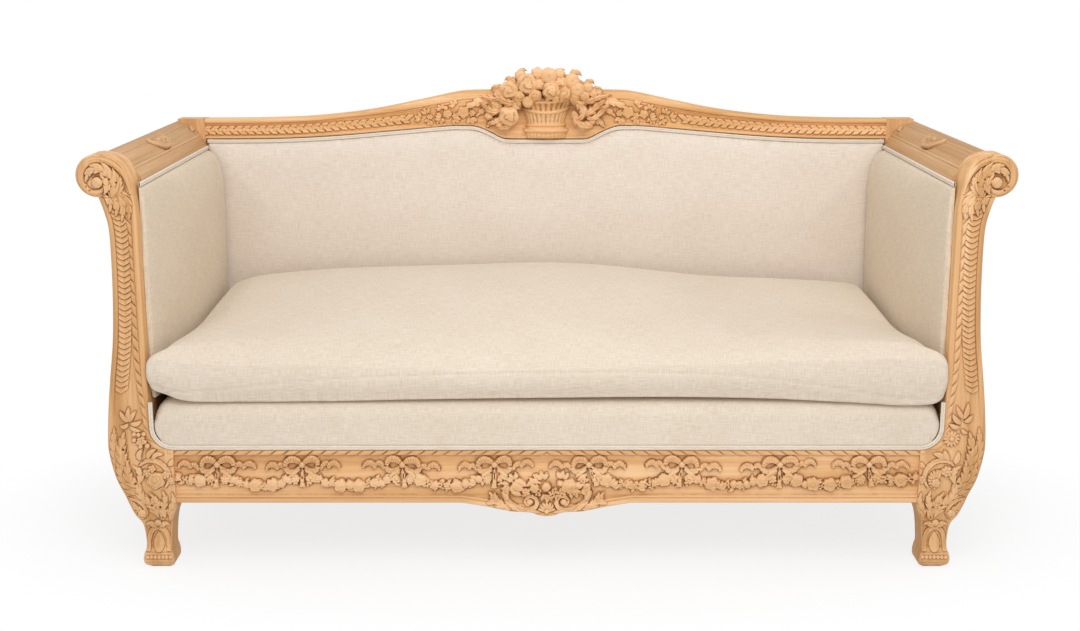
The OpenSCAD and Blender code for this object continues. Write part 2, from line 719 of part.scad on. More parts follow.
// Rings of a pad: how far each is drawn in towards the middle, and its share of the crown
pad_ring_shares = [[1, 0], [0.985, 0.12], [0.955, 0.34], [0.89, 0.62], [0.75, 0.88], [0.45, 1]];

pad_side_steps = 6;
pad_foot_steps = 14;
back_pad_half_w = half_in - soft_gap;
back_pad_z = deck_top + soft_gap;

// The top rail's underside out to a half width, lowered by a gap
function shoulder_to(w, gap) = concat([for (p = shoulder_edge()) if (p[0] < w) [p[0], p[1] - gap]], [[w, under_z - gap]]);
function pad_top() = shoulder_to(back_pad_half_w, gimp_w + 3 * soft_gap);
pad_top_z = under_z - gimp_w - 3 * soft_gap;
function back_pad_outline() = concat(
    [for (i = [0 : pad_foot_steps - 1]) [back_pad_half_w * (2 * i / pad_foot_steps - 1), back_pad_z]],
    [for (i = [0 : pad_side_steps - 1])
        [back_pad_half_w, back_pad_z + (pad_top_z - back_pad_z) * i / pad_side_steps]],
    reversed(pad_top()), [for (p = pad_top()) if (p[0] > 0 && p[0] < back_pad_half_w) [-p[0], p[1]]],
    [for (i = [0 : pad_side_steps - 1])
        [-back_pad_half_w, pad_top_z - (pad_top_z - back_pad_z) * i / pad_side_steps]]);

function back_ring(f, depth) = [for (p = back_pad_outline())
    let (z = back_mid_z + (p[1] - back_mid_z) * f) [p[0] * f, lean_y(z) - soft_gap - depth, z]];
back_mid_z = (deck_top + under_z) / 2;

module back_pad() {
    color(linen) skin(
        concat([back_ring(pad_ring_shares[1][0], 0), back_ring(1, 2 * soft_gap)],
               [for (s = pad_ring_shares) back_ring(s[0], back_edge_t + s[1] * back_crown)]),
        [0, lean_y(back_mid_z) - soft_gap, back_mid_z],
        [0, lean_y(back_mid_z) - soft_gap - back_edge_t - back_crown, back_mid_z]);
}

arm_pad_front_share = 0.42;
arm_pad_front_y = face_y + post_t * arm_pad_front_share;
arm_pad_top = arm_under_z + arm_edge_rise;
arm_pad_steps = 6;
// The arm pad ends where the back pad's rolled edge comes forward
arm_pad_back = 2 * soft_gap + back_edge_t + back_crown * pad_ring_shares[2][1];
arm_mid = [(deck_top + arm_pad_top) / 2, (arm_pad_front_y + seat_back_y) / 2];

// Corners of the arm pad in (z, y), with its back edge leaning
function arm_pad_corners() = [
    [deck_top + soft_gap, arm_pad_front_y], [arm_pad_top, arm_pad_front_y],
    [arm_pad_top, lean_y(arm_pad_top) - arm_pad_back], [deck_top + soft_gap, lean_y(deck_top) - arm_pad_back]];
function arm_pad_outline() = [for (k = [0 : 3]) for (i = [0 : arm_pad_steps - 1])
    arm_pad_corners()[k] + (arm_pad_corners()[(k + 1) % 4] - arm_pad_corners()[k]) * i / arm_pad_steps];
// 0 at the front of the arm, 1 where the back begins
function rearward(y) = pow(max(0, (y - arm_pad_front_y) / (seat_back_y - arm_pad_front_y)), 2);
function arm_ring(f, depth, swell) = [for (p = arm_pad_outline())
    let (q = arm_mid + (p - arm_mid) * f) [half_in - soft_gap - depth - swell * rearward(q[1]), q[1], q[0]]];

module arm_pad() {
    color(linen) skin(
        concat([arm_ring(pad_ring_shares[1][0], 0, 0), arm_ring(1, soft_gap, 0)],
               [for (s = pad_ring_shares)
                   arm_ring(s[0], arm_edge_t + s[1] * (arm_crown - 2 * soft_gap), s[1] * arm_rear_swell)]),
        [half_in - soft_gap, arm_mid[1], arm_mid[0]],
        [half_in + soft_gap - arm_edge_t - arm_crown - arm_rear_swell * rearward(arm_mid[1]), arm_mid[1], arm_mid[0]]);
}

/* Double piping that hides the tacked edge of the linen. */

module back_piping() {
    edge = shoulder_to(back_pad_half_w, 0);
    color(piping) slab_xz(lean_y(under_z) - soft_gap - gimp_t - back_edge_t, lean_y(under_z) - soft_gap) polygon(concat(
        mirrored([for (p = edge) [p[0], p[1] - soft_gap]]), [for (p = edge) [p[0], p[1] - soft_gap]],
        [for (p = reversed(edge)) [p[0], p[1] - soft_gap - gimp_w]],
        mirrored([for (p = reversed(edge)) [p[0], p[1] - soft_gap - gimp_w]])));
}

module arm_piping() {
    color(piping) block([half_in - soft_gap - gimp_t, arm_pad_front_y, arm_pad_top + soft_gap],
                        [half_in - soft_gap, lean_y(under_z) - soft_gap - gimp_t - back_edge_t - soft_gap,
                         arm_pad_top + soft_gap + gimp_w]);
}

// Lower edge of the seat opening, drawn in by an inset: down one post, round the corners and along the rail
function seat_edge(inset) = concat(
    [[inset + soft_gap - half_in, deck_top]],
    arc([corner_r - half_in, rail_top + corner_r], corner_r - soft_gap - inset, 180, 270, 8),
    arc([half_in - corner_r, rail_top + corner_r], corner_r - soft_gap - inset, 270, 360, 8),
    [[half_in - inset - soft_gap, deck_top]]);

piping_y = face_y + soft_gap;
module seat_piping() {
    color(piping) slab_xz(piping_y, piping_y + gimp_t) polygon(concat(seat_edge(0), reversed(seat_edge(gimp_w))));
}

/* Seat: webbing, coil springs, hessian, stuffing and the linen deck. */

web_t = 1.5;
web_w = 60;
web_pitch = 104;
web_count_share = 0.9;      // of the seat's inner width that the webbing covers
web_rows = 5;
seat_mid_y = (front_rail_back_y + rear_rail_y) / 2;
web_columns = floor(seat_w * web_count_share / web_pitch);

module seat_webbing() {
    color(jute) {
        for (i = [0 : web_rows - 1]) {
            y = seat_mid_y + (i - (web_rows - 1) / 2) * web_pitch;
            block([-half_in - side_rail_out - web_lap, y - web_w / 2, leg_h - web_t],
                  [half_in + side_rail_out + web_lap, y + web_w / 2, leg_h]);
        }
        for (i = [0 : web_columns - 1]) {
            x = (i - (web_columns - 1) / 2) * web_pitch;
            block([x - web_w / 2, front_rail_back_y - web_lap, leg_h - 2 * web_t - joint_gap],
                  [x + web_w / 2, rear_rail_y + web_lap, leg_h - web_t - joint_gap]);
        }
    }
}

spring_columns = 5;
spring_rows = 3;
spring_x_share = 0.73;      // how far out the last springs stand, of half the clear width
spring_y_share = 0.6;       // how far out the last row stands, of half the inner depth
ring_steps = 8;
wire_sides = 6;
spring_foot_z = leg_h + soft_gap;

function coil_r(t) = spring_waist_r + (spring_end_r - spring_waist_r) * pow(2 * t - 1, 2);
function coil_ring(k, n) = let (t = k / n, turn = 360 * spring_turns * t, r = coil_r(t)) [
    for (i = [0 : wire_sides - 1]) let (a = 360 * i / wire_sides)
        [(r + wire_d / 2 * cos(a)) * cos(turn), (r + wire_d / 2 * cos(a)) * sin(turn),
         wire_d / 2 + t * (spring_h - wire_d) + wire_d / 2 * sin(a)]];
function coil_centre(t) = let (turn = 360 * spring_turns * t) [coil_r(t) * cos(turn), coil_r(t) * sin(turn),
    wire_d / 2 + t * (spring_h - wire_d)];

module coil_spring() {
    n = ring_steps * spring_turns;
    skin([for (k = [0 : n]) coil_ring(n - k, n)], coil_centre(1), coil_centre(0));
}
coil_gap = (spring_h - wire_d) / spring_turns - wire_d;
echo(least_gap_between_coils = coil_gap);

module seat_springs() {
    color(steel)
        for (i = [0 : spring_columns - 1])
            for (j = [0 : spring_rows - 1])
                translate([half_in * spring_x_share * (2 * i / (spring_columns - 1) - 1),
                           seat_mid_y + (rear_rail_y - front_rail_back_y) / 2 * spring_y_share
                               * (2 * j / (spring_rows - 1) - 1), spring_foot_z]) coil_spring();
}

hessian_t = 1.5;
hessian_z = spring_foot_z + spring_h + soft_gap;
deck_wall = 26;             // thickness of the deck's rolled edge at sides, front and back
stuffing_t = 24;
deck_back_y = seat_back_y - soft_gap;

module spring_hessian() {
    color(jute) block([deck_wall + 2 * soft_gap - half_in, face_y + 2 * deck_wall, hessian_z],
                      [half_in - deck_wall - 2 * soft_gap, deck_back_y - deck_wall, hessian_z + hessian_t]);
}

module seat_stuffing() {
    color("#c9bda4") block([deck_wall + 2 * soft_gap - half_in, face_y + 2 * deck_wall, hessian_z + hessian_t],
                           [half_in - deck_wall - 2 * soft_gap, deck_back_y - deck_wall, hessian_z + hessian_t + stuffing_t]);
}

// Rings of the deck in (x, z), from its flat back to its rounded front
deck_end_drop = 8;
deck_nose_r = 30;
deck_edge_r = 2;            // rounding of the deck's rear edge
function deck_outline(inset) = concat(
    arc([corner_r - half_in, rail_top + corner_r], corner_r - soft_gap - inset, 180, 270, 6),
    arc([half_in - corner_r, rail_top + corner_r], corner_r - soft_gap - inset, 270, 360, 6),
    [for (i = [0 : 18]) let (t = 1 - i / 9, x = (half_in - soft_gap - inset - deck_end_drop) * t)
        [x, deck_top - inset - deck_end_drop * pow(abs(t), 6)]]);
function deck_ring(y, inset) = [for (p = deck_outline(inset)) [p[0], y, p[1]]];
deck_mid_z = (rail_top + deck_top) / 2;
// The rounded front: shares of the nose radius, drawn in and gone forward
deck_nose_shares = [[0.14, 0.5], [0.32, 0.78], [0.6, 0.95], [1, 1.05]];
deck_lip_y = face_y + gimp_t + 2 * soft_gap;

module seat_deck() {
    color(linen) difference() {
        skin(concat([deck_ring(deck_back_y, deck_edge_r), deck_ring(deck_back_y - deck_edge_r, 0),
                     deck_ring(deck_lip_y + deck_nose_r / 2, 0),
                     deck_ring(deck_lip_y, 0), deck_ring(deck_lip_y - soft_gap, gimp_w + soft_gap)],
                    [for (s = deck_nose_shares)
                        deck_ring(deck_lip_y - soft_gap - s[1] * gimp_t, gimp_w + soft_gap + s[0] * (deck_nose_r - gimp_w))]),
             [0, deck_back_y, deck_mid_z], [0, deck_lip_y - soft_gap - deck_nose_shares[3][1] * gimp_t, deck_mid_z]);
        block([deck_wall - half_in, face_y + 2 * deck_wall - soft_gap, leg_h],
              [half_in - deck_wall, deck_back_y - deck_wall + soft_gap, hessian_z + hessian_t + stuffing_t + soft_gap]);
    }
}

/* Loose cushion: soft corners, crowned top, and a bottom that lies on the deck. */

cushion_gap = 0.4;
cushion_proud = 4;          // how far the cushion's front swells past the posts' faces
cushion_front_y = face_y - cushion_proud;
cushion_back_y = lean_y(deck_top) - soft_gap - back_edge_t - back_crown - 2 * cushion_gap;
cushion_mid_y = (cushion_front_y + cushion_back_y) / 2;
cushion_half_d = (cushion_back_y - cushion_front_y) / 2;
cushion_half_w = half_in - arm_edge_t - arm_crown - cushion_gap;
cushion_z = deck_top + cushion_gap;
cushion_corner_r = 24;
cushion_back_share = 0.83;  // of the crown that is kept along the back edge
cushion_end_share = 0.2;    // of the crown that is kept at the ends
cushion_flare = 24;         // how much wider the front is, on each side, than where the arm pads swell
// Rings from the underside to the top: how far each is drawn in, and its share of the thickness there
cushion_ring_shares = [[0.55, 0], [0.2, 0], [0.03, 0.01], [0, 0.12], [0, 0.45], [0.04, 0.68],
                       [0.14, 0.86], [0.3, 0.96], [0.55, 1], [0.8, 1]];
long_steps = 12;
short_steps = 6;
corner_steps = 4;

// Plan outline of the cushion, drawn in by an inset
function cushion_outline(inset) = let (
    r = max(cushion_corner_r - inset, soft_gap),
    x = cushion_half_w - inset - r,
    y = cushion_half_d - inset - r) concat(
    [for (i = [0 : long_steps - 1]) [x * (2 * i / long_steps - 1), -y - r]],
    quarter([x, -y], r, -90),
    [for (i = [0 : short_steps - 1]) [x + r, y * (2 * i / short_steps - 1)]],
    quarter([x, y], r, 0),
    [for (i = [0 : long_steps - 1]) [x * (1 - 2 * i / long_steps), y + r]],
    quarter([-x, y], r, 90),
    [for (i = [0 : short_steps - 1]) [-x - r, y * (1 - 2 * i / short_steps)]],
    quarter([-x, -y], r, 180));
// A quarter turn from angle a, without its end
function quarter(c, r, a) = [for (i = [0 : corner_steps - 1])
    c + r * [cos(a + 90 * i / corner_steps), sin(a + 90 * i / corner_steps)]];

// Underside and thickness above a place in the plan, for a shape that is t thinner all round
function lift(p) = corner_lift * pow(abs(p[0]) / cushion_half_w, 10);
function crown(p) = cushion_crown * (1 - (1 - cushion_end_share) * pow(min(1, abs(p[0]) / cushion_half_w), 2.2))
    * (p[1] < 0 ? 1 - pow(-p[1] / cushion_half_d, 2) : 1 - (1 - cushion_back_share) * pow(p[1] / cushion_half_d, 3));
function cushion_ring(s, t) = [for (p = cushion_outline(t + s[0] * (cushion_half_d - t)))
    let (low = cushion_z + lift(p) + t,
         high = cushion_z + cushion_edge_h + crown(p) - t)
    [p[0] * (1 + cushion_flare / cushion_half_w * pow(max(0, -p[1] / cushion_half_d), 10)
             - arm_rear_swell / cushion_half_w * rearward(p[1] + cushion_mid_y)),
     p[1] + cushion_mid_y, low + s[1] * (high - low)]];

module cushion_shape(t) {
    skin([for (s = cushion_ring_shares) cushion_ring(s, t)],
         [0, cushion_mid_y, cushion_z + t],
         [0, cushion_mid_y, cushion_z + cushion_edge_h + cushion_crown - t]);
}

module cushion_cover() {
    color(linen) difference() {
        cushion_shape(0);
        cushion_shape(case_t - soft_gap);
    }
}

module cushion_filling() {
    color("#efe9dc") cushion_shape(case_t);
}

other_side() front_post();  // front_post_left
front_post();  // front_post_right
other_side() rear_post();  // rear_post_left
rear_post();  // rear_post_right
front_seat_rail();
rear_seat_rail();
other_side() side_seat_rail();  // side_seat_rail_left
side_seat_rail();  // side_seat_rail_right
other_side() cross_rail();  // cross_rail_left
cross_rail();  // cross_rail_right
corner_braces();
brace_screws();
joint_pegs();
top_rail();
crest_carving();
back_lower_rail();
other_side() back_strut();  // back_strut_left
back_strut();  // back_strut_right
other_side() arm_top_rail();  // arm_top_rail_left
arm_top_rail();  // arm_top_rail_right
other_side() arm_lower_rail();  // arm_lower_rail_left
arm_lower_rail();  // arm_lower_rail_right
other_side() arm_strut();  // arm_strut_left
arm_strut();  // arm_strut_right
arm_dowels();
seat_webbing();
seat_springs();
spring_hessian();
seat_stuffing();
seat_deck();
seat_piping();
back_pad();
back_piping();
outside_back_panel();
other_side() arm_pad();  // arm_pad_left
arm_pad();  // arm_pad_right
other_side() arm_piping();  // arm_piping_left
arm_piping();  // arm_piping_right
other_side() outside_arm_panel();  // outside_arm_panel_left
outside_arm_panel();  // outside_arm_panel_right
cushion_cover();
cushion_filling();
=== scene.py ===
# %% [markdown]
# A three-seat settee: a carved frame of stripped limewood, upholstered in natural linen, with one long
# loose cushion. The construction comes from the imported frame, and this lesson dresses it. Each visible
# piece is a surface worked out with numpy, in millimetres, which stands where the frame's node stands.

import math

import bpy
import numpy as np
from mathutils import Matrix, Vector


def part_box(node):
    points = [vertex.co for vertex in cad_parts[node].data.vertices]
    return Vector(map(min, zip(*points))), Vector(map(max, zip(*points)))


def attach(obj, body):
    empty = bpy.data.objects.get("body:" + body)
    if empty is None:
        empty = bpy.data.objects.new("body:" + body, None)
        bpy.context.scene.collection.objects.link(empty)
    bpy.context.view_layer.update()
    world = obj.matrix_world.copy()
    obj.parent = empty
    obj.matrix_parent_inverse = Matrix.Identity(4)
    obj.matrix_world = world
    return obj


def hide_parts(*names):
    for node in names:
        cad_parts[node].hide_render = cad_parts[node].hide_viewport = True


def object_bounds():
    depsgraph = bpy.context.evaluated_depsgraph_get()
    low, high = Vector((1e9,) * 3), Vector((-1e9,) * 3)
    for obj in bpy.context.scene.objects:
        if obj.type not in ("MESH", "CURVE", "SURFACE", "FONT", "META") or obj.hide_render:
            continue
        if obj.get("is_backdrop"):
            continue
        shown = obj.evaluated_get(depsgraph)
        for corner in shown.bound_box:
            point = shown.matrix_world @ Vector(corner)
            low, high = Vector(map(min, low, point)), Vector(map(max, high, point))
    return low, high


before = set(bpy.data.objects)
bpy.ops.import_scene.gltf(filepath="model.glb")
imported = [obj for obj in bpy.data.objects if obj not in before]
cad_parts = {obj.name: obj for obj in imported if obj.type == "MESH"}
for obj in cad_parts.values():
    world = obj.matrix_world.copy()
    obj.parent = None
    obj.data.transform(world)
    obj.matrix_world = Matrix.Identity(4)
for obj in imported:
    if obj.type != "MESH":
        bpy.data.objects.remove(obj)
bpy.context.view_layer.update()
print("nodes in the frame:", len(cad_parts))

# %% [markdown]
# The sizes below are read off the frame's own boxes, so that every piece made here lands on the piece it
# stands for. What the boxes can't tell, such as a waist or the radius of a scroll, has a name of its own.

# %% Sizes from the frame, in millimetres
MM = 0.001


def node_box(node):
    """Lowest and highest corner of a node, in millimetres."""
    low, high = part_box(node)
    return np.array(low) / MM, np.array(high) / MM


post_low, post_high = node_box("front_post_right")
rear_low, rear_high = node_box("rear_post_right")
rear_rail_low, rear_rail_high = node_box("rear_seat_rail")
top_low, top_high = node_box("top_rail")
SEAM_X = post_low[0]  # where the front rail meets the post
HALF_IN = node_box("outside_back_panel")[1][0]  # inner face of the front post
CORNER_R = HALF_IN - SEAM_X
LEG_H, RAIL_TOP = rear_rail_low[2], rear_rail_high[2]
DECK_TOP = node_box("seat_deck")[1][2]
POST_TOP = post_high[2]
FACE_Y = node_box("front_seat_rail")[0][1]  # front face of rail and posts
POST_BACK_Y = node_box("arm_top_rail_right")[0][1]
TOP_RAIL_Y, TOP_BACK_Y = top_low[1], top_high[1]
SEAT_BACK_Y = rear_low[1]
REAR_IN = rear_low[0]
TOP_Z = rear_high[2]
UNDER_Z = top_low[2]
CAMEL_RISE = top_high[2] - TOP_Z
BACK_LEAN = TOP_RAIL_Y - SEAT_BACK_Y
SIDES = ((-1, "left"), (1, "right"))
print("clear width", round(2 * HALF_IN), "post height", round(POST_TOP), "seat", round(DECK_TOP))

# %% [markdown]
# Three kinds of helper carry the lesson. A curve is drawn smoothly through a few given points; a grid
# of points becomes a closed mesh; and a finished mesh is given its material, its body and its node.

# %% Smooth curves
def smooth_curve(points, steps=6):
    """A curve through its points: each span is the cubic whose slopes are half the steps beside it."""
    p = np.asarray(points, float)
    a, b, c, d = (q[:, None] for q in (np.vstack([p[:1], p[:-2]]), p[:-1], p[1:], np.vstack([p[2:], p[-1:]])))
    t = np.linspace(0, 1, steps, endpoint=False)[None, :, None]
    spans = 0.5 * (2 * b + (c - a) * t + (2 * a - 5 * b + 4 * c - d) * t**2 + (3 * b - a - 3 * c + d) * t**3)
    return np.vstack([spans.reshape(-1, p.shape[1]), p[-1:]])


def even_path(points, step):
    """The same line with points at even steps along it."""
    run = np.concatenate([[0], np.cumsum(np.linalg.norm(np.diff(points, axis=0), axis=1))])
    at = np.linspace(0, run[-1], max(2, int(run[-1] / step) + 1))
    return np.stack([np.interp(at, run, points[:, i]) for i in range(points.shape[1])], 1)


def read_off(curve, x):
    """The second coordinate of a curve where its first is x."""
    return np.interp(x, curve[:, 0], curve[:, 1])


def unit(ways):
    """Rows of directions, each divided by its own length."""
    return ways / np.linalg.norm(ways, axis=1, keepdims=True)


def bell(x, width):
    """A bell curve exp(-(x / width)^2): 1 at zero and close to 0 from two widths on."""
    return np.exp(-np.square(x / width))


def ease(x, start, end):
    """0 before start and 1 after end, with the cubic 3t^2 - 2t^3 between them."""
    t = np.clip((x - start) / (end - start), 0, 1)
    return t * t * (3 - 2 * t)


# %% Meshes from grids of points
def points_at(x, y, z):
    """Points from their coordinates, each stretched to the shape that the three share."""
    return np.stack(np.broadcast_arrays(x, y, z), -1)


def grid_faces(rows, cols):
    """Four corners of each cell of a grid whose points are numbered row by row; each row closes on itself."""
    r, c = np.meshgrid(np.arange(rows - 1), np.arange(cols), indexing="ij")
    right = (c + 1) % cols
    corners = [r * cols + c, r * cols + right, (r + 1) * cols + right, (r + 1) * cols + c]
    return np.stack(corners, -1).reshape(-1, 4)


def fan_faces(ring, centre):
    """Triangles from each side of a ring of point numbers to its centre point."""
    return np.stack([ring, np.roll(ring, -1), np.full(len(ring), centre)], -1)


def tube_shell(points):
    """A closed shell from rings of points: quads along it, and at either end a fan to the ring's middle."""
    rows, cols, _ = points.shape
    flat = np.vstack([points.reshape(-1, 3), points[0].mean(0), points[-1].mean(0)])
    start, end = np.arange(cols), (rows - 1) * cols + np.arange(cols)
    return flat, grid_faces(rows, cols), np.vstack([fan_faces(start[::-1], rows * cols),
                                                    fan_faces(end, rows * cols + 1)])


def turned_out(points, quads, tris):
    """The same faces, reversed where the sum of signed volumes below them is negative."""
    volume = sum(np.einsum("ij,ij->i", points[f[:, 0]], np.cross(points[f[:, i]], points[f[:, i + 1]])).sum()
                 for f in (quads, tris) if len(f) for i in range(1, f.shape[1] - 1))
    return (quads, tris) if volume > 0 else (quads[:, ::-1], tris[:, ::-1])


def joined(shells):
    """Several shells as one: the point numbers of each go on from the last one's."""
    points, quads, tris, count = [], [], [], 0
    for p, q, t in shells:
        q, t = turned_out(p, q, t)
        points.append(p)
        quads.append(q + count)
        tris.append(t + count)
        count += len(p)
    return np.vstack(points), np.vstack(quads), np.vstack(tris)


def new_object(name, data):
    """An object that shows some data, put into the scene."""
    thing = bpy.data.objects.new(name, data)
    bpy.context.scene.collection.objects.link(thing)
    return thing


def store(mesh, key, values):
    """Keeps one value or one vector for each point of a mesh, where a material can read it."""
    single = values.ndim == 1
    layer = mesh.attributes.new(key, "FLOAT" if single else "FLOAT_VECTOR", "POINT")
    layer.data.foreach_set("value" if single else "vector", values.astype(np.float32).ravel())


def make_piece(name, shell, hollow=None, crease=55):
    """A mesh object from a shell in millimetres; edges bent by more than crease degrees stay crisp."""
    points, quads, tris = shell
    quads, tris = turned_out(points, quads, tris)
    mesh = bpy.data.meshes.new(name)
    counts = np.concatenate([np.full(len(quads), 4), np.full(len(tris), 3)])
    corners = np.concatenate([quads.ravel(), tris.ravel()])
    mesh.vertices.add(len(points))
    mesh.vertices.foreach_set("co", (points * MM).astype(np.float32).ravel())
    mesh.loops.add(len(corners))
    mesh.loops.foreach_set("vertex_index", corners.astype(np.int32))
    mesh.polygons.add(len(counts))
    mesh.polygons.foreach_set("loop_start", np.concatenate([[0], np.cumsum(counts)[:-1]]).astype(np.int32))
    mesh.update(calc_edges=True)
    mesh.validate()
    mesh.shade_smooth()
    if crease < 180:
        mesh.set_sharp_from_angle(angle=math.radians(crease))
    if hollow is not None:
        store(mesh, "hollow", hollow)
    return new_object(name, mesh)


def finish_piece(piece, material, body, slot, *nodes):
    """Gives a piece its material and the body it rides on, and hides the nodes that it stands for. The slot
    is not used.
    """
    piece.data.materials.clear()
    piece.data.materials.append(material)
    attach(piece, body)
    if nodes:
        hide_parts(*nodes)
    print(piece.name, "has", len(piece.data.polygons), "faces")
    return piece

# %% [markdown]
# The photograph is taken from the front, a little above the arms, with a lens of ordinary length. A camera
# with a 50 mm lens stands where the lines of the arms and rails agree with it, tilted down and not shifted.

# %% Camera
CAMERA_PLACE = (-0.013, -3.116, 1.157)
CAMERA_TILT = 13.15
camera_data = bpy.data.cameras.new("camera")
camera_data.lens = 50
camera_data.sensor_width = 36
camera = new_object("camera", camera_data)
camera.location = CAMERA_PLACE
camera.rotation_euler = (math.radians(90 - CAMERA_TILT), 0, 0)
bpy.context.scene.camera = camera
bpy.context.scene.view_settings.view_transform = "Standard"
print("camera at", CAMERA_PLACE)


# %% Colours and nodes
WHITE = "#ffffff"


def colour(code):
    """An sRGB hex code as linear red, green, blue and alpha: the standard's curve, undone."""
    s = np.array([int(code[i:i + 2], 16) for i in (1, 3, 5)]) / 255
    return (*np.where(s <= 0.04045, s / 12.92, ((s + 0.055) / 1.055) ** 2.4).tolist(), 1.0)


def fresh_tree(owner):
    """The emptied node tree of a material or a world."""
    owner.use_nodes = True
    owner.node_tree.nodes.clear()
    return owner.node_tree


def add_node(tree, kind, inputs=None, **settings):
    """One node with its settings. An input that is a node takes that node's first output, a socket is
    linked, and any other value is set."""
    node = tree.nodes.new("ShaderNode" + kind)
    for key, value in settings.items():
        setattr(node, key, value)
    for key, value in (inputs or {}).items():
        if isinstance(value, bpy.types.Node):
            value = value.outputs[0]
        if isinstance(value, bpy.types.NodeSocket):
            tree.links.new(value, node.inputs[key])
        else:
            node.inputs[key].default_value = value
    return node


def reckon(tree, operation, *values):
    """One sum of two or three values, each a number or the output of a node."""
    return add_node(tree, "Math", dict(enumerate(values)), operation=operation)


def remap(tree, value, start, end, low=0.0, high=1.0, **settings):
    """A value from start to end becomes one from low to high, and goes no further."""
    return add_node(tree, "MapRange", {"Value": value, "From Min": start, "From Max": end, "To Min": low,
                                       "To Max": high}, **settings)


def mix_colours(tree, share, first, second):
    """The first colour where the share is 0 and the second where it is 1."""
    return add_node(tree, "Mix", {0: share, 6: first, 7: second}, data_type="RGBA").outputs[2]


def noise(tree, place, scale, detail, **inputs):
    """Cloudy noise over a place, from about 0 to 1."""
    return add_node(tree, "TexNoise", {"Vector": place, "Scale": scale, "Detail": detail, **inputs})


def close_surface(tree, tint, relief, strength, distance, finish):
    """A surface in one tint with bumps from a relief, and its other inputs by name; it ends the material."""
    bump = add_node(tree, "Bump", {"Height": relief, "Strength": strength, "Distance": distance})
    surface = add_node(tree, "BsdfPrincipled", {"Base Color": tint, "Normal": bump, **finish})
    add_node(tree, "OutputMaterial", {"Surface": surface})


# %% [markdown]
# A studio sweep: the light is soft and comes from all round, with broad lamps above and in front, the
# nearest a little to the right. Background and floor show white to the camera and in reflections, and the
# floor keeps a pale part of the settee's shadow.

# %% World and lamps
SKY_STRENGTH = 0.62


def seen_rays(tree, *kinds):
    """1 for a camera's or a reflection's ray, and for the kinds of ray that are named, else 0."""
    rays = add_node(tree, "LightPath").outputs
    seen = reckon(tree, "MAXIMUM", rays["Is Camera Ray"], rays["Is Glossy Ray"])
    for kind in kinds:
        seen = reckon(tree, "MAXIMUM", seen, rays[kind])
    return seen


world = bpy.data.worlds.new("studio")
bpy.context.scene.world = world
tree = fresh_tree(world)
sky = add_node(tree, "Background", {"Color": colour(WHITE), "Strength": SKY_STRENGTH})
white = add_node(tree, "Background", {"Color": colour(WHITE), "Strength": 1.0})
mixed = add_node(tree, "MixShader", {0: seen_rays(tree, "Is Transmission Ray"), 1: sky, 2: white})
add_node(tree, "OutputWorld", {"Surface": mixed})


def add_lamp(name, place, target, size, power):
    """A square area lamp that looks from its place at a target, both in metres."""
    data = bpy.data.lights.new(name, "AREA")
    data.size = size
    data.energy = power
    lamp = new_object(name, data)
    lamp.location = place
    aim = np.array(target) - np.array(place)
    tilt = math.acos(-aim[2] / np.linalg.norm(aim))
    lamp.rotation_euler = (tilt, 0, math.atan2(aim[1], aim[0]) - math.pi / 2)


LAMPS = {
    # name: place, target, size in metres, power in watts
    "key": ((0.25, -1.6, 2.1), (-0.05, 0.25, 0.7), 1.2, 18.5),
    "front": ((0.2, -2.9, 2.4), (0, 0, 0.45), 1.1, 11),
    "fill": ((-1.6, -2.9, 1.8), (0, 0, 0.4), 1.8, 5),
    "low": ((0.3, -3.2, 0.5), (0, 0, 0.35), 1.8, 1.5),
    "over": ((0, -0.5, 3.2), (0, 0.1, 0.3), 2.0, 11),
}
for lamp_name, lamp_values in LAMPS.items():
    add_lamp(lamp_name, *lamp_values)

# %% Floor
FLOOR_HALF = 4.5
FLOOR_SHADOW = 0.2  # how much of the true shading the floor shows
SHADOW_OVAL = (0.85, 1.5, 1.0)  # scales the plan, so that the shadow's edge is an oval
SHADOW_FROM, SHADOW_TO = 0.7, 1.15  # over this stretch it fades to plain white
corners = FLOOR_HALF * np.array([(-1, -1, 0), (1, -1, 0), (1, 1, 0), (-1, 1, 0)])
floor_mesh = bpy.data.meshes.new("studio_floor")
floor_mesh.from_pydata(corners.tolist(), [], [(0, 1, 2, 3)])
floor = new_object("studio_floor", floor_mesh)
paper = bpy.data.materials.new("studio_paper")
tree = fresh_tree(paper)
place = add_node(tree, "TexCoord").outputs["Object"]
oval = add_node(tree, "VectorMath", {0: place, 1: SHADOW_OVAL}, operation="MULTIPLY")
length = add_node(tree, "VectorMath", {0: oval}, operation="LENGTH").outputs["Value"]
near = remap(tree, length, SHADOW_FROM, SHADOW_TO, FLOOR_SHADOW, 0.0, interpolation_type="SMOOTHSTEP")
shaded = add_node(tree, "BsdfDiffuse", {"Color": colour("#f4f4f4")})
glow = add_node(tree, "Emission", {"Color": colour(WHITE), "Strength": 1.0})
shown = add_node(tree, "MixShader", {0: near, 1: glow, 2: shaded})
final = add_node(tree, "MixShader", {0: seen_rays(tree), 1: shaded, 2: shown})
add_node(tree, "OutputMaterial", {"Surface": final})
floor_mesh.materials.append(paper)
floor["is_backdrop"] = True
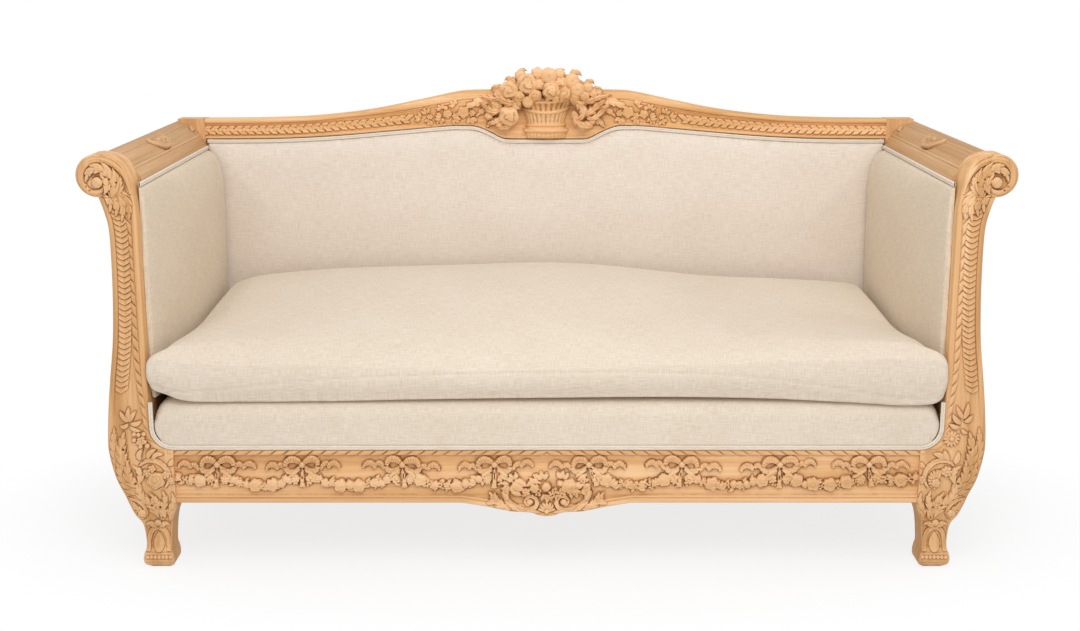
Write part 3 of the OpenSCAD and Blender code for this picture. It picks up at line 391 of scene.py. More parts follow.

# %% [markdown]
# The frame is European limewood, carved and then stripped of its paint: a pale, even timber that has
# turned honey brown, dry to the touch, darker in the hollows the scraper couldn't reach, and paler on the
# edges that hands have rubbed. Each carved piece carries an attribute that holds how deep each place lies
# below its surroundings; the material darkens the deep ones with that dirt and painted shade together, and
# lightens the high ones with the wear and a painted highlight together.

# %% Stripped limewood
GRAIN_WIDTH = 0.0035  # lime has fine grain; its streaks are drawn as wide as they can be seen
GRAIN_LENGTH = 0.16
HOLLOW_DEPTH = 2.6  # millimetres below the surroundings at which wood is fully dark
RIDGE_HEIGHT = 1.6
BAND_SHARE = 0.13  # broad bands of colour repeat this much more slowly than the grain
LIME_COLOURS = ((0.58, "#cb9760"), (0.74, "#dbaa74"), (0.86, "#e5b582"), (1.0, "#eec596"))
# The hollow colour is dirt and painted shade in one; the ridge colour is wear and a painted highlight in one.
RUBBED_AND_LIT_LIME, DIRT_AND_PAINTED_SHADE, OLD_PAINT = "#e9c095", "#875630", "#b9a983"


def limewood(name, along, tone=1.0):
    """Limewood whose grain runs along axis 0, 1 or 2. Its tone scales the colour: above 1 a painted light,
    below 1 a painted shade.
    """
    material = bpy.data.materials.new(name)
    tree = fresh_tree(material)
    place = add_node(tree, "TexCoord").outputs["Object"]
    squeeze = [1 / GRAIN_WIDTH] * 3
    squeeze[along] = 1 / GRAIN_LENGTH
    streaks = add_node(tree, "Mapping", {"Vector": place, "Scale": squeeze})
    fine = noise(tree, streaks, 1.0, 5.0, Roughness=0.62, Distortion=0.35)
    bands = add_node(tree, "Mapping", {"Vector": place, "Scale": [s * BAND_SHARE for s in squeeze],
                                       "Location": (3.1, 1.7, 5.3)})
    both = reckon(tree, "MULTIPLY_ADD", fine, 0.55, noise(tree, bands, 1.0, 2.0))
    ramp = add_node(tree, "ValToRGB", {"Fac": both})
    while len(ramp.color_ramp.elements) < len(LIME_COLOURS):
        ramp.color_ramp.elements.new(0.5)
    for element, (at, code) in zip(ramp.color_ramp.elements, LIME_COLOURS):
        element.position = at
        element.color = [c * tone for c in colour(code)[:3]] + [1.0]
    # Deep places take painted shade mixed with dirt, high places a painted highlight mixed with wear.
    depth = add_node(tree, "Attribute", attribute_name="hollow").outputs["Fac"]
    deep = remap(tree, depth, 0.2, HOLLOW_DEPTH, high=0.64)
    high = remap(tree, depth, -0.1, -RIDGE_HEIGHT, high=0.5)
    rubbed_and_lit = mix_colours(tree, high, ramp, colour(RUBBED_AND_LIT_LIME))
    uneven = remap(tree, noise(tree, place, 55.0, 2.0), 0.38, 0.62, 0.25, 1.25)
    dirty_and_shaded = mix_colours(tree, reckon(tree, "MULTIPLY", uneven, deep), rubbed_and_lit, colour(DIRT_AND_PAINTED_SHADE))
    patches = remap(tree, noise(tree, place, 38.0, 3.0), 0.56, 0.7, high=0.55)
    painted = mix_colours(tree, reckon(tree, "MULTIPLY", patches, deep), dirty_and_shaded, colour(OLD_PAINT))
    relief = reckon(tree, "MULTIPLY_ADD", noise(tree, place, 160.0, 3.0), 0.8, fine)
    close_surface(tree, painted, relief, 0.4, 0.0005, {"Roughness": 0.6, "Specular IOR Level": 0.32})
    return material


# Each copy's tone is painted light or shade for its pieces: the top rail's lighter, the arm and side rails'
# much darker, the front rail's a little lighter and the posts' a little darker.
lime_across = limewood("limewood_rail", 0, 1.03)
lime_lit_top_rail = limewood("limewood_top_rail_lit", 0, 1.09)
lime_upright = limewood("limewood_post", 2, 0.97)
lime_shaded_depth = limewood("limewood_arm_shaded", 1, 0.76)
print("wood finishes:", lime_across.name, lime_lit_top_rail.name, lime_upright.name, lime_shaded_depth.name)

# %% [markdown]
# The cover is a natural linen of plain weave, undyed and unglazed. Its threads are spun unevenly, so that
# thicker ones show as short pale or dark streaks both ways. The weave follows the cloth: each upholstered
# piece holds the distance along warp and weft as an attribute, in metres.

# %% Natural linen
THREAD = 0.0013  # linen of 10 threads to the centimetre, drawn coarser so that it shows
SLUB_LENGTH = 0.022


def streak_noise(tree, weave, widths, seed):
    """Noise drawn out along one direction of the weave: its coordinates are divided by unlike widths."""
    scaled = add_node(tree, "Mapping", {"Vector": weave, "Scale": [1 / w for w in widths],
                                        "Location": (seed, seed * 2.3, 0.0)})
    return noise(tree, scaled, 1.0, 3.0, Roughness=0.65)


def linen(name, dark, light, attribute=True):
    """Plain-woven linen: warp and weft streaks are added, coloured between dark and light, and raised."""
    material = bpy.data.materials.new(name)
    tree = fresh_tree(material)
    if attribute:
        weave = add_node(tree, "Attribute", attribute_name="weave").outputs["Vector"]
    else:
        weave = add_node(tree, "TexCoord").outputs["Object"]
    warp = streak_noise(tree, weave, (THREAD, SLUB_LENGTH, THREAD), 1.0)
    weft = streak_noise(tree, weave, (SLUB_LENGTH, THREAD, THREAD), 4.0)
    slub = streak_noise(tree, weave, (SLUB_LENGTH * 2, THREAD * 2.4, THREAD), 9.0)
    slubbed = reckon(tree, "MULTIPLY_ADD", slub, 0.4, reckon(tree, "ADD", warp, weft))
    clouded = reckon(tree, "MULTIPLY_ADD", noise(tree, weave, 7.0, 2.0), 0.2, slubbed)
    tint = mix_colours(tree, remap(tree, clouded, 0.95, 1.65), colour(dark), colour(light))
    close_surface(tree, tint, slubbed, 0.35, 0.0006, {
        "Roughness": 0.88, "Specular IOR Level": 0.2, "Sheen Weight": 0.12, "Sheen Roughness": 0.5})
    return material


# One natural linen throughout. The arm pads' copy is darker, as painted shade.
cover_linen = linen("natural_linen", "#ccbba4", "#ebdfd0")
pad_linen = linen("natural_linen_pads", "#d2c2b0", "#ede2d6")
shaded_arm_linen = linen("natural_linen_arms_shaded", "#c7b399", "#e8dac5")
# The piping's copy is lighter, as a painted highlight on the cords.
lit_piping_linen = linen("linen_double_piping_lit", "#d3c5b2", "#efe5d8", attribute=False)
print("cloths:", cover_linen.name, pad_linen.name, shaded_arm_linen.name, lit_piping_linen.name)

# %% [markdown]
# Inside, nothing is seen from a step away, but each material is still what the piece is made of: beech for
# the rails and braces, jute for webbing and hessian, curled hair over the springs, feathers in a cotton
# case, and coppered steel wire.


# %% Hidden materials
def plain_finish(name, dark, light, size, stretch=(1, 1, 1), roughness=0.8, metallic=0.0, relief=0.0004):
    """A mottled finish: noise of one grain size, stretched along an axis, between two colours."""
    material = bpy.data.materials.new(name)
    tree = fresh_tree(material)
    place = add_node(tree, "TexCoord").outputs["Object"]
    scaled = add_node(tree, "Mapping", {"Vector": place, "Scale": [1 / (size * s) for s in stretch]})
    grain = noise(tree, scaled, 1.0, 4.0)
    tint = mix_colours(tree, grain, colour(dark), colour(light))
    close_surface(tree, tint, grain, 0.5, relief, {"Roughness": roughness, "Metallic": metallic})
    return material


BEECH = ("#a97c50", "#d8ae7e", 0.004)
beech_across = plain_finish("sawn_beech_across", *BEECH, stretch=(30, 1, 1))
beech_deep = plain_finish("sawn_beech_deep", *BEECH, stretch=(1, 30, 1))
beech_upright = plain_finish("sawn_beech_upright", *BEECH, stretch=(1, 1, 30))
jute = plain_finish("woven_jute", "#8c6b41", "#c6a571", 0.0022)
hair = plain_finish("curled_hair_stuffing", "#a79b84", "#ddd3c0", 0.006, relief=0.002)
down_case = plain_finish("feather_proof_cotton", "#e0d9cb", "#f4efe6", 0.003)
spring_wire = plain_finish("coppered_spring_steel", "#7d6a58", "#b59a80", 0.01, roughness=0.35, metallic=1.0)

# %% [markdown]
# Edges that several pieces share are written once: the plane of the leaning back, the top rail's two
# edges, and the low edge of the seat opening that the double piping follows.

# %% Shared edges
CAMEL = smooth_curve([
    (0, 1), (0.195, 0.97), (0.26, 0.91), (0.377, 0.62), (0.52, 0.3), (0.68, 0.09), (0.83, 0.02), (1, 0),
])
SHOULDER = smooth_curve([
    (0, 0), (0.1, 0), (0.13, 0.1), (0.165, 0.55), (0.205, 0.95), (0.25, 1), (0.29, 0.97), (0.455, 0.6),
    (0.63, 0.23), (0.8, 0.03), (1, 0),
])
SHOULDER_RISE = 30.0
PAD_GAP = 0.3  # what is left free between cloth and timber


def lean_y(z):
    """The back frame's leaning front plane: straight from the seat's back to the top rail's front."""
    return SEAT_BACK_Y + BACK_LEAN * np.maximum(0, z - RAIL_TOP) / (POST_TOP - RAIL_TOP)


def camel_z(x):
    """Top edge of the top rail at a place across."""
    return TOP_Z + CAMEL_RISE * read_off(CAMEL, np.abs(x) / REAR_IN)


def shoulder_z(x):
    """Lower edge of the top rail at a place across."""
    return UNDER_Z + SHOULDER_RISE * read_off(SHOULDER, np.abs(x) / REAR_IN)


def rolled(distance, radius):
    """A quarter circle's rise over the first stretch in from an edge, 1 from there on."""
    t = np.clip(distance / radius, 0, 1)
    return np.sqrt(1 - (1 - t) ** 2)


def rounding(distance, radius):
    """How far a rounded edge lies back at a distance in from it: its radius less the circle's rise."""
    return radius * (1 - rolled(distance, radius))


def spread(low, high, count, ends=0.5):
    """Places from low to high that lie closer together at both ends: a line mixed with a cosine."""
    t = np.linspace(0, 1, count)
    return low + (high - low) * ((1 - ends) * t + ends * (0.5 - 0.5 * np.cos(np.pi * t)))


# %% [markdown]
# A padded piece starts as a shape a little too small, and Blender's cloth inflates it. The edge that is
# tacked to the frame is pinned, no point may move further than a cap, and the result replaces the mesh.

# %% Cloth that inflates a pad
CLOTH_FRAMES = 20


def points_of(mesh):
    """The mesh's points in millimetres."""
    flat = np.zeros(len(mesh.vertices) * 3, np.float32)
    mesh.vertices.foreach_get("co", flat)
    return flat.reshape(-1, 3).astype(float) / MM


def put_points(mesh, points):
    """Moves a mesh's points to places in millimetres."""
    mesh.vertices.foreach_set("co", (points * MM).astype(np.float32).ravel())
    mesh.update()


def inflate(piece, pinned, cap, pressure=4.0, slack=0.0, floor_z=None):
    """Runs the cloth; each point keeps its move, shortened to the cap, and stays above floor_z."""
    rest = points_of(piece.data)
    group = piece.vertex_groups.new(name="tacked")
    group.add(np.flatnonzero(pinned(rest)).tolist(), 1.0, "REPLACE")
    cloth = piece.modifiers.new("cloth", "CLOTH")
    settings = cloth.settings
    settings.quality = 6
    settings.mass = 0.25
    settings.tension_stiffness = settings.compression_stiffness = 12
    settings.shear_stiffness = 6
    settings.bending_stiffness = 0.6
    settings.use_pressure = True
    settings.uniform_pressure_force = pressure
    settings.shrink_min = -slack
    settings.vertex_group_mass = group.name
    settings.effector_weights.gravity = 0
    cloth.point_cache.frame_end = CLOTH_FRAMES
    for step in range(1, CLOTH_FRAMES + 1):
        bpy.context.scene.frame_set(step)
    seen = piece.evaluated_get(bpy.context.evaluated_depsgraph_get())
    move = points_of(seen.data) - rest
    size = np.linalg.norm(move, axis=1, keepdims=True)
    result = rest + move * np.minimum(1, cap / np.maximum(size, 1e-6))
    if floor_z is not None:
        result[:, 2] = np.maximum(result[:, 2], floor_z)
    piece.modifiers.clear()
    put_points(piece.data, result)
    bpy.context.scene.frame_set(1)
    print(piece.name, "inflated, mean move", round(float(np.minimum(size, cap).mean()), 2), "mm")


def smoothed(piece):
    """Replaces a piece's mesh by one that is subdivided once."""
    subdivision = piece.modifiers.new("smooth", "SUBSURF")
    subdivision.levels = subdivision.render_levels = 1
    mesh = bpy.data.meshes.new_from_object(piece.evaluated_get(bpy.context.evaluated_depsgraph_get()))
    piece.modifiers.clear()
    piece.data = mesh
    mesh.shade_smooth()
    return piece


def lay_weave(piece, along, across):
    """Stores distances along warp and weft, in metres: two sums of the coordinates that don't stretch it."""
    points = points_of(piece.data) * MM
    store(piece.data, "weave", points @ np.array([along, across, (0, 0, 0)], float).T)


# %% [markdown]
# The loose cushion is a feather case as long as the seat, and no two places of it are alike: it is fuller
# left of the middle, it hangs over the deck at the right, and its left tip lifts. So its height is a
# blend of given curves: one front to back in the middle, one along the arms, and one that says
# which of the two holds at a place across. Its sides follow the arm pads. The cloth then fills it.

# %% Shape of the seat cushion
cushion_low, cushion_high = node_box("cushion_cover")
CUSHION_TALL = cushion_high[2] - cushion_low[2]
CUSHION_MIDDLE = smooth_curve([
    (0, 0.38), (0.02, 0.46), (0.06, 0.55), (0.14, 0.66), (0.25, 0.77), (0.4, 0.89), (0.55, 0.975),
    (0.7, 1.02), (0.86, 1.03), (1, 1.0),
])
CUSHION_AT_ARMS = smooth_curve([
    (0, 0.55), (0.02, 0.605), (0.06, 0.635), (0.14, 0.62), (0.25, 0.585), (0.38, 0.55), (0.5, 0.555),
    (0.62, 0.61), (0.75, 0.67), (0.9, 0.715), (1, 0.7),
])
CUSHION_FULLNESS = smooth_curve([
    (-1, 0), (-0.93, 0.32), (-0.86, 0.5), (-0.7, 0.67), (-0.4, 0.84), (-0.1, 0.97), (0.1, 0.93), (0.3, 0.7),
    (0.5, 0.42), (0.7, 0.27), (0.86, 0.16), (0.95, 0.07), (1, 0),
])
CUSHION_FOOT = smooth_curve([
    (-1, 17), (-0.97, 11), (-0.88, -4), (-0.6, -6), (-0.3, -2), (0, 1), (0.3, 3), (0.55, 0.5), (0.75, -5),
    (0.88, -8.5), (0.96, -6), (1, 0),
])
SEAM_RISE = smooth_curve([
    (-1, 16), (-0.85, 24), (-0.6, 44), (-0.3, 52), (0.3, 52), (0.6, 40), (0.85, 18), (1, 14),
])
CUSHION_NOSE, CUSHION_CORNER, CUSHION_SIDE, CUSHION_TUCK = 8.0, 9.0, 26.0, 13.0
CUSHION_BACK_CORNER, CUSHION_BACK_EDGE = 40.0, 26.0
FAR = 1000.0  # added to a distance, to leave a place out
ARM_EDGE, ARM_CROWN, REAR_CROWN = 5.0, 7.0, 33.0  # arm pads: rolled edge, crown, swelling at the rear
pad_low, pad_high = node_box("arm_pad_right")


def towards_back(y):
    """0 before the arm pads begin and 1 at the back corner."""
    return ease(y, pad_low[1] - 80, pad_high[1] - 40)


def cushion_half(y):
    """Half the cushion's width: the arm pads' faces less a little room, flaring in front of the pads."""
    arm = HALF_IN - ARM_EDGE - ARM_CROWN - REAR_CROWN * towards_back(y) - 3.0
    return arm + (HALF_IN + 8 - arm) * (1 - ease(y, pad_low[1] - 26, pad_low[1] + 6))


def cushion_top(u, v):
    """Height share over a place across (-1 to 1) and from front to back (0 to 1)."""
    arms = read_off(CUSHION_AT_ARMS, v)
    dents = 0.012 * np.sin(9 * u + 4 * v) * np.sin(5 * v + 1)
    dents = dents + 0.01 * np.sin(21 * u - 6 * v + 2) * np.exp(-3 * v)
    return arms + (read_off(CUSHION_MIDDLE, v) - arms) * read_off(CUSHION_FULLNESS, u) + dents


def cushion_sections(slim):
    """Sections at places across: underside, nose, front, top and back; both ends close round. Beside them it
    gives how far each place lies from the front seam, by height."""
    ends = CUSHION_SIDE * (1 - np.cos(np.linspace(0.16, np.pi / 2, 13)))
    half_w = cushion_half(np.array([cushion_low[1]]))[0]
    inner = np.linspace(-half_w + CUSHION_SIDE, half_w - CUSHION_SIDE, 160)[1:-1]
    u = np.concatenate([ends - half_w, inner, half_w - ends[::-1]])[:, None] / half_w
    side = (1 - np.abs(u)) * half_w
    roll = rolled(side, CUSHION_SIDE) ** 0.42
    front = cushion_low[1] + slim - 5 * ease(u, 0.5, 0.9)
    front = front + rounding(side, CUSHION_CORNER)
    back = cushion_high[1] - slim - rounding(side, CUSHION_BACK_CORNER)
    foot = cushion_low[2] + slim + read_off(CUSHION_FOOT, u)
    # shares along the underside, the front, the top and the back, and the angle round the nose
    w, f = np.linspace(1, 0.02, 30), np.linspace(0, 1, 20)[1:]
    v, b = np.linspace(0, 1, 72)[1:] ** 1.35, np.linspace(0, 1, 8)[1:-1]
    n = np.linspace(0, np.pi / 2, 6)[1:]
    brow = cushion_low[2] + cushion_top(u, 0 * u) * CUSHION_TALL - slim
    flat = cushion_low[2] + slim + 0.2
    under_y = front + CUSHION_TUCK + w * (back - front - CUSHION_TUCK)
    under_z = flat + (foot - flat) * (1 - ease(under_y - front, 14, 40))
    nose_y = front + CUSHION_TUCK - CUSHION_NOSE * np.sin(n)
    nose_z = foot + CUSHION_NOSE * (1 - np.cos(n))
    face_y = front - CUSHION_NOSE + 6 * f - 3 * np.sin(np.pi * f) + CUSHION_TUCK * (1 - f) ** 2.2
    face_z = foot + CUSHION_NOSE + f * (brow - foot - CUSHION_NOSE)
    top_y = front - 2 + v * (back - front + 2)
    top_z = cushion_low[2] + cushion_top(u, v) * CUSHION_TALL - slim
    top_z = top_z - rounding(back - top_y, CUSHION_BACK_EDGE)
    end_z = top_z[:, -1:]
    back_y = back + 3 * np.sin(np.pi * b)
    back_z = end_z + b * (flat - end_z)
    y = np.hstack([under_y, nose_y, face_y, top_y, back_y])
    z = np.hstack([under_z, nose_z, face_z, top_z, back_z])
    middle = foot + 0.42 * (brow - foot)
    z = middle + (z - middle) * roll
    seam = np.abs(z - foot - read_off(SEAM_RISE, u)) + FAR * (y > front + 30)
    return points_at(u * (cushion_half(y) - slim), y, z), seam


# %% Seat cushion
CUSHION_SLIM, CUSHION_SWELL = 3.0, 5.0
SEAM_DEEP, SEAM_WIDE = 1.6, 2.4
sections, seam = cushion_sections(CUSHION_SLIM)
cushion = make_piece("seat_cushion", tube_shell(sections), crease=180)
inflate(cushion, lambda p: np.zeros(len(p), bool), cap=CUSHION_SWELL, slack=0.015, floor_z=cushion_low[2] - 9)
points = points_of(cushion.data)
pucker = 1 + 0.35 * np.sin(points[:-2, 0] / 4.1 + 2 * np.sin(points[:-2, 0] / 37))
points[:-2, 1] += SEAM_DEEP * pucker * bell(seam.ravel(), SEAM_WIDE)
put_points(cushion.data, points)
lay_weave(smoothed(cushion), (1, 0, 0), (0, 1, 1))
finish_piece(cushion, cover_linen, "cushion", "linen", "cushion_cover")

# %% [markdown]
# Inside the cover is the filling: feathers in a proofed cotton case, sewn through in two channels across so
# that they stay where they are. It has the cushion's shape, slimmer all round.

# %% Filling of the cushion
FILLING_SLIM, CHANNEL_DEEP = 14.0, 9.0
sections, _ = cushion_sections(FILLING_SLIM)
across = sections[..., 0]
channel = CHANNEL_DEEP * bell(np.abs(across) - cushion_half(0 * across) / 3, 12)
sections[..., 2] -= channel * np.where(sections[..., 2] > cushion_low[2] + 0.4 * CUSHION_TALL, 1, 0)
filling = make_piece("feather_filling_case", tube_shell(sections), crease=180)
finish_piece(filling, down_case, "cushion", "feather_filling", "cushion_filling")

# %% [markdown]
# The sprung deck under it is a firm roll along the front and flat on top. It is a section carried along
# the seat: at the ends its lower edge climbs round the frame's inner corner and its upper edge drops.

# %% Sprung deck
deck_low, deck_high = node_box("seat_deck")
DECK_ROLL, DECK_END_R, DECK_FOOT_R = 34.0, 30.0, 5.0
DECK_FALL = 2.0  # how much lower the top is at the ends than in the middle
DECK_ROOM = 0.4  # between the deck's front and the frame node's
END_RECESS = 3.0  # how far the front draws back at the ends
PIPING_W, PIPING_T, PIPING_STEP = 8.0, 5.0, 6.0
SEAT_CORD_OUT = 3.6  # how far the seat's cords stand before the deck


def deck_shell():
    """Sections across: flat underside, small lower round, upper roll, flat top; both ends close round. A
    section's points hold y, the height over an edge, and whether that edge is the upper or the lower one."""
    inset = PIPING_W - 2
    half_w = deck_high[0] - inset
    x = half_w * np.sin(np.pi / 2 * np.linspace(-1, 1, 161))[:, None]
    end = half_w - np.abs(x)
    low = deck_low[2] + inset + rounding(end, CORNER_R - inset)
    high = deck_high[2] - rounding(end, DECK_END_R) - DECK_FALL * (x / half_w) ** 4
    front, back = deck_low[1] + DECK_ROOM, deck_high[1]
    q = np.linspace(0, np.pi / 2, 9)
    flat_y = np.linspace(front + DECK_ROLL, back - 3, 24)[1:]
    section = np.vstack([
        points_at(front + DECK_FOOT_R * (1 - np.sin(q)), DECK_FOOT_R * (1 - np.cos(q)), 0),
        points_at(front + DECK_ROLL * (1 - np.cos(q)), DECK_ROLL * (np.sin(q) - 1), 1),
        points_at(flat_y, 0, 1), [(back, -4, 1), (back, 4, 0), (back - 3, 0, 0)],
        points_at(flat_y[-2::-1], 0, 0)])
    y, over, upper = section.T
    z = np.where(upper > 0, high, low) + over * np.minimum(1, (high - low) / (DECK_ROLL + 14))
    return tube_shell(points_at(x, y + END_RECESS * (1 - rolled(end, 14)) * (y < front + DECK_ROLL), z))


deck = make_piece("sprung_deck", deck_shell(), crease=180)
inflate(deck, lambda p: (p[:, 2] < deck_low[2] + 16) | (p[:, 1] > deck_high[1] - 20), cap=3, pressure=2.0)
lay_weave(smoothed(deck), (1, 0, 0), (0, 1, 1))
finish_piece(deck, cover_linen, "frame", "linen", "seat_deck")

# %% [markdown]
# Back pad and arm pads are tight: linen drawn over hair, tacked along the frame. Their edge is a small
# roll and the middle swells a little. The back pad's upper edge follows the top rail's shoulders.

# %% Back pad
back_low, back_high = node_box("back_pad")
BACK_EDGE, BACK_CROWN = 5.0, 34.0


def pad_shell(x, y, z, back_x, back_y, back_z):
    """Sections of a pad: the front from its foot to its head, and the plain back down again."""
    front, back = points_at(x, y, z), points_at(back_x, back_y, back_z)
    return tube_shell(np.concatenate([front, back[:, ::-1]], 1))


def back_pad_shell():
    """Sections along the back: depth is the edge, a roll in from each side, and a flat crown."""
    half_w = back_high[0]
    x = spread(-half_w, half_w, 141, 0.75)[:, None]
    head = shoulder_z(x) - PIPING_W - PAD_GAP
    z = spread(back_low[2], head, 46, 0.75)
    side = half_w - np.abs(x)
    near = np.minimum(np.minimum(side, head - z), z - back_low[2])
    swell = 0.55 * rolled(side, 60) * rolled(head - z, 52) + 0.45 * ease(near, 0, 190)
    y = lean_y(z) - PAD_GAP - (BACK_EDGE * rolled(near, 2) + BACK_CROWN * swell)
    back_z = spread(back_low[2], head, 8, 0)
    return pad_shell(x, y, z, x, lean_y(back_z) - PAD_GAP, back_z)


back_pad = make_piece("back_upholstery", back_pad_shell(), crease=180)
inflate(back_pad, lambda p: (np.abs(p[:, 0]) > back_high[0] - 12) | (p[:, 1] > lean_y(p[:, 2]) - 6),
        cap=4, pressure=3.0, slack=0.004)
lay_weave(smoothed(back_pad), (1, 0, 0), (0, -0.3, 1))
finish_piece(back_pad, pad_linen, "frame", "linen", "back_pad")

# %% Arm pads
def arm_pad_rear(z):
    """The arm pads' rear edge leans with the back and ends at the head where the frame's node ends."""
    return lean_y(z) - lean_y(pad_high[2]) + pad_high[1]


def arm_pad_shell(side):
    """Sections along the arm, front to back: a roll in from every edge, fuller at the rear corner."""
    front_y, foot, head = pad_low[1], pad_low[2], pad_high[2]
    share = spread(0, 1, 81, 0.75)[:, None]
    z, back_z = spread(foot, head, 50, 0.75), np.linspace(foot, head, 8)
    rear = arm_pad_rear(z)
    y = front_y + share * (rear - front_y)
    near = np.minimum(np.minimum(y - front_y, rear - y), head - z)
    swell = 0.6 * rolled(head - z, 34) * rolled(y - front_y, 30) + 0.4 * ease(near, 0, 150)
    rearward = towards_back(y) * rolled(head - z, 95) * rolled(rear - y, 16)
    x = HALF_IN - PAD_GAP - ARM_EDGE * rolled(near, 4) - ARM_CROWN * swell - REAR_CROWN * rearward
    back_y = front_y + share * (arm_pad_rear(back_z) - front_y)
    return pad_shell(side * x, y, z, side * (HALF_IN - PAD_GAP), back_y, back_z)


for side, hand in SIDES:
    arm_pad = make_piece(f"arm_upholstery_{hand}", arm_pad_shell(side), crease=180)
    inflate(arm_pad, lambda p: np.abs(p[:, 0]) > HALF_IN - 6.5, cap=2, pressure=2.0, slack=0.004)
    lay_weave(smoothed(arm_pad), (0, 1, 0), (0.3 * side, 0, 1))
    finish_piece(arm_pad, shaded_arm_linen, "frame", "linen", f"arm_pad_{hand}")

# %% [markdown]
# Double piping hides the tacks: two cords wrapped side by side in one strip of linen. Each cord is a
# circle carried along the edge, and a thin strip joins the two behind.


# %% Double piping
def swept(path, out, radius, sides=8):
    """A round cord along a path: circles spanned by the outward direction and the one square to both."""
    other = unit(np.cross(unit(np.gradient(path, axis=0)), out))
    a = np.linspace(0, 2 * np.pi, sides, endpoint=False)[None, :, None]
    return tube_shell(path[:, None] + radius * (np.cos(a) * out[:, None] + np.sin(a) * other[:, None]))


def double_piping(name, edge, out, inward, node):
    """Two cords, a quarter and three quarters of the width in from an edge, on a strip behind them. The way
    inward is one direction, or a function of the path where it turns."""
    path = even_path(np.asarray(edge, float), PIPING_STEP)
    out = np.broadcast_to(np.asarray(out, float), path.shape)
    across = inward(path) if callable(inward) else np.broadcast_to(np.asarray(inward, float), path.shape)
    cord = PIPING_W / 4
    raised, across = out * (PIPING_T - cord), across * PIPING_W
    shells = [swept(path + across * share + raised, out, 1.15 * cord) for share in (0.26, 0.74)]
    behind = out * PAD_GAP
    shells.append(tube_shell(np.stack([path + behind, path + across + behind, path + across + raised,
                                       path + raised], 1)))
    piece = make_piece(name, joined(shells), crease=60)
    return finish_piece(piece, lit_piping_linen, "frame", "piping", node)


def seat_edge(inset):
    """Down one post, round the corner of the seat opening and along the rail, in (x, z)."""
    r = CORNER_R - inset
    q = np.linspace(0, np.pi / 2, 12)
    corner = np.stack([-HALF_IN + CORNER_R - r * np.cos(q), RAIL_TOP + CORNER_R - r * np.sin(q)], 1)
    left = np.vstack([[-HALF_IN + inset, DECK_TOP], corner])
    return np.vstack([left, left[::-1] * (-1, 1)])


def seat_inward(path):
    """Square to the seat edge, towards the seat: the path's own direction turned a quarter."""
    way = unit(np.gradient(path[:, [0, 2]], axis=0))
    return points_at(-way[:, 1], 0, way[:, 0])


FORWARD, DOWN = (0, -1, 0), (0, 0, -1)
edge = seat_edge(PAD_GAP)
edge = points_at(edge[:, 0], node_box("seat_piping")[1][1] - SEAT_CORD_OUT, edge[:, 1])
double_piping("seat_double_piping", edge, FORWARD, seat_inward, "seat_piping")

half_w = node_box("back_piping")[1][0]
xs = np.linspace(-half_w, half_w, 300)
zs = shoulder_z(xs) - PAD_GAP
double_piping("back_double_piping", points_at(xs, lean_y(zs) - 2 * PAD_GAP, zs), FORWARD, DOWN, "back_piping")

for side, hand in SIDES:
    low, high = node_box(f"arm_piping_{hand}")
    path = points_at(side * (HALF_IN - PAD_GAP), np.linspace(low[1], high[1], 60), high[2])
    double_piping(f"arm_double_piping_{hand}", path, (-side, 0, 0), DOWN, f"arm_piping_{hand}")

# %% [markdown]
# The carving is relief cut into a board. A board is a grid of places on a face with the height of the wood
# left at each. Every motif writes its own height inside its outline, and just outside it the knife leaves
# a groove, so that a later motif lies in front of an earlier one.


# %% Boards and outlines
def blurred(values, reach):
    """A grid averaged over a square of cells, three times, which comes close to a bell curve."""
    for _ in range(3):
        for axis in (0, 1):
            wide = [(0, 0), (0, 0)]
            wide[axis] = (reach + 1, reach)
            total = np.cumsum(np.pad(values, wide, mode="edge"), axis=axis)
            count = values.shape[axis]
            high = np.take(total, np.arange(2 * reach + 1, 2 * reach + 1 + count), axis=axis)
            values = (high - np.take(total, np.arange(count), axis=axis)) / (2 * reach + 1)
    return values


def domed(share):
    """Height of a half round at a share of its half width: sqrt(1 - share^2), and 0 beyond."""
    return np.sqrt(np.maximum(0, 1 - np.square(share)))


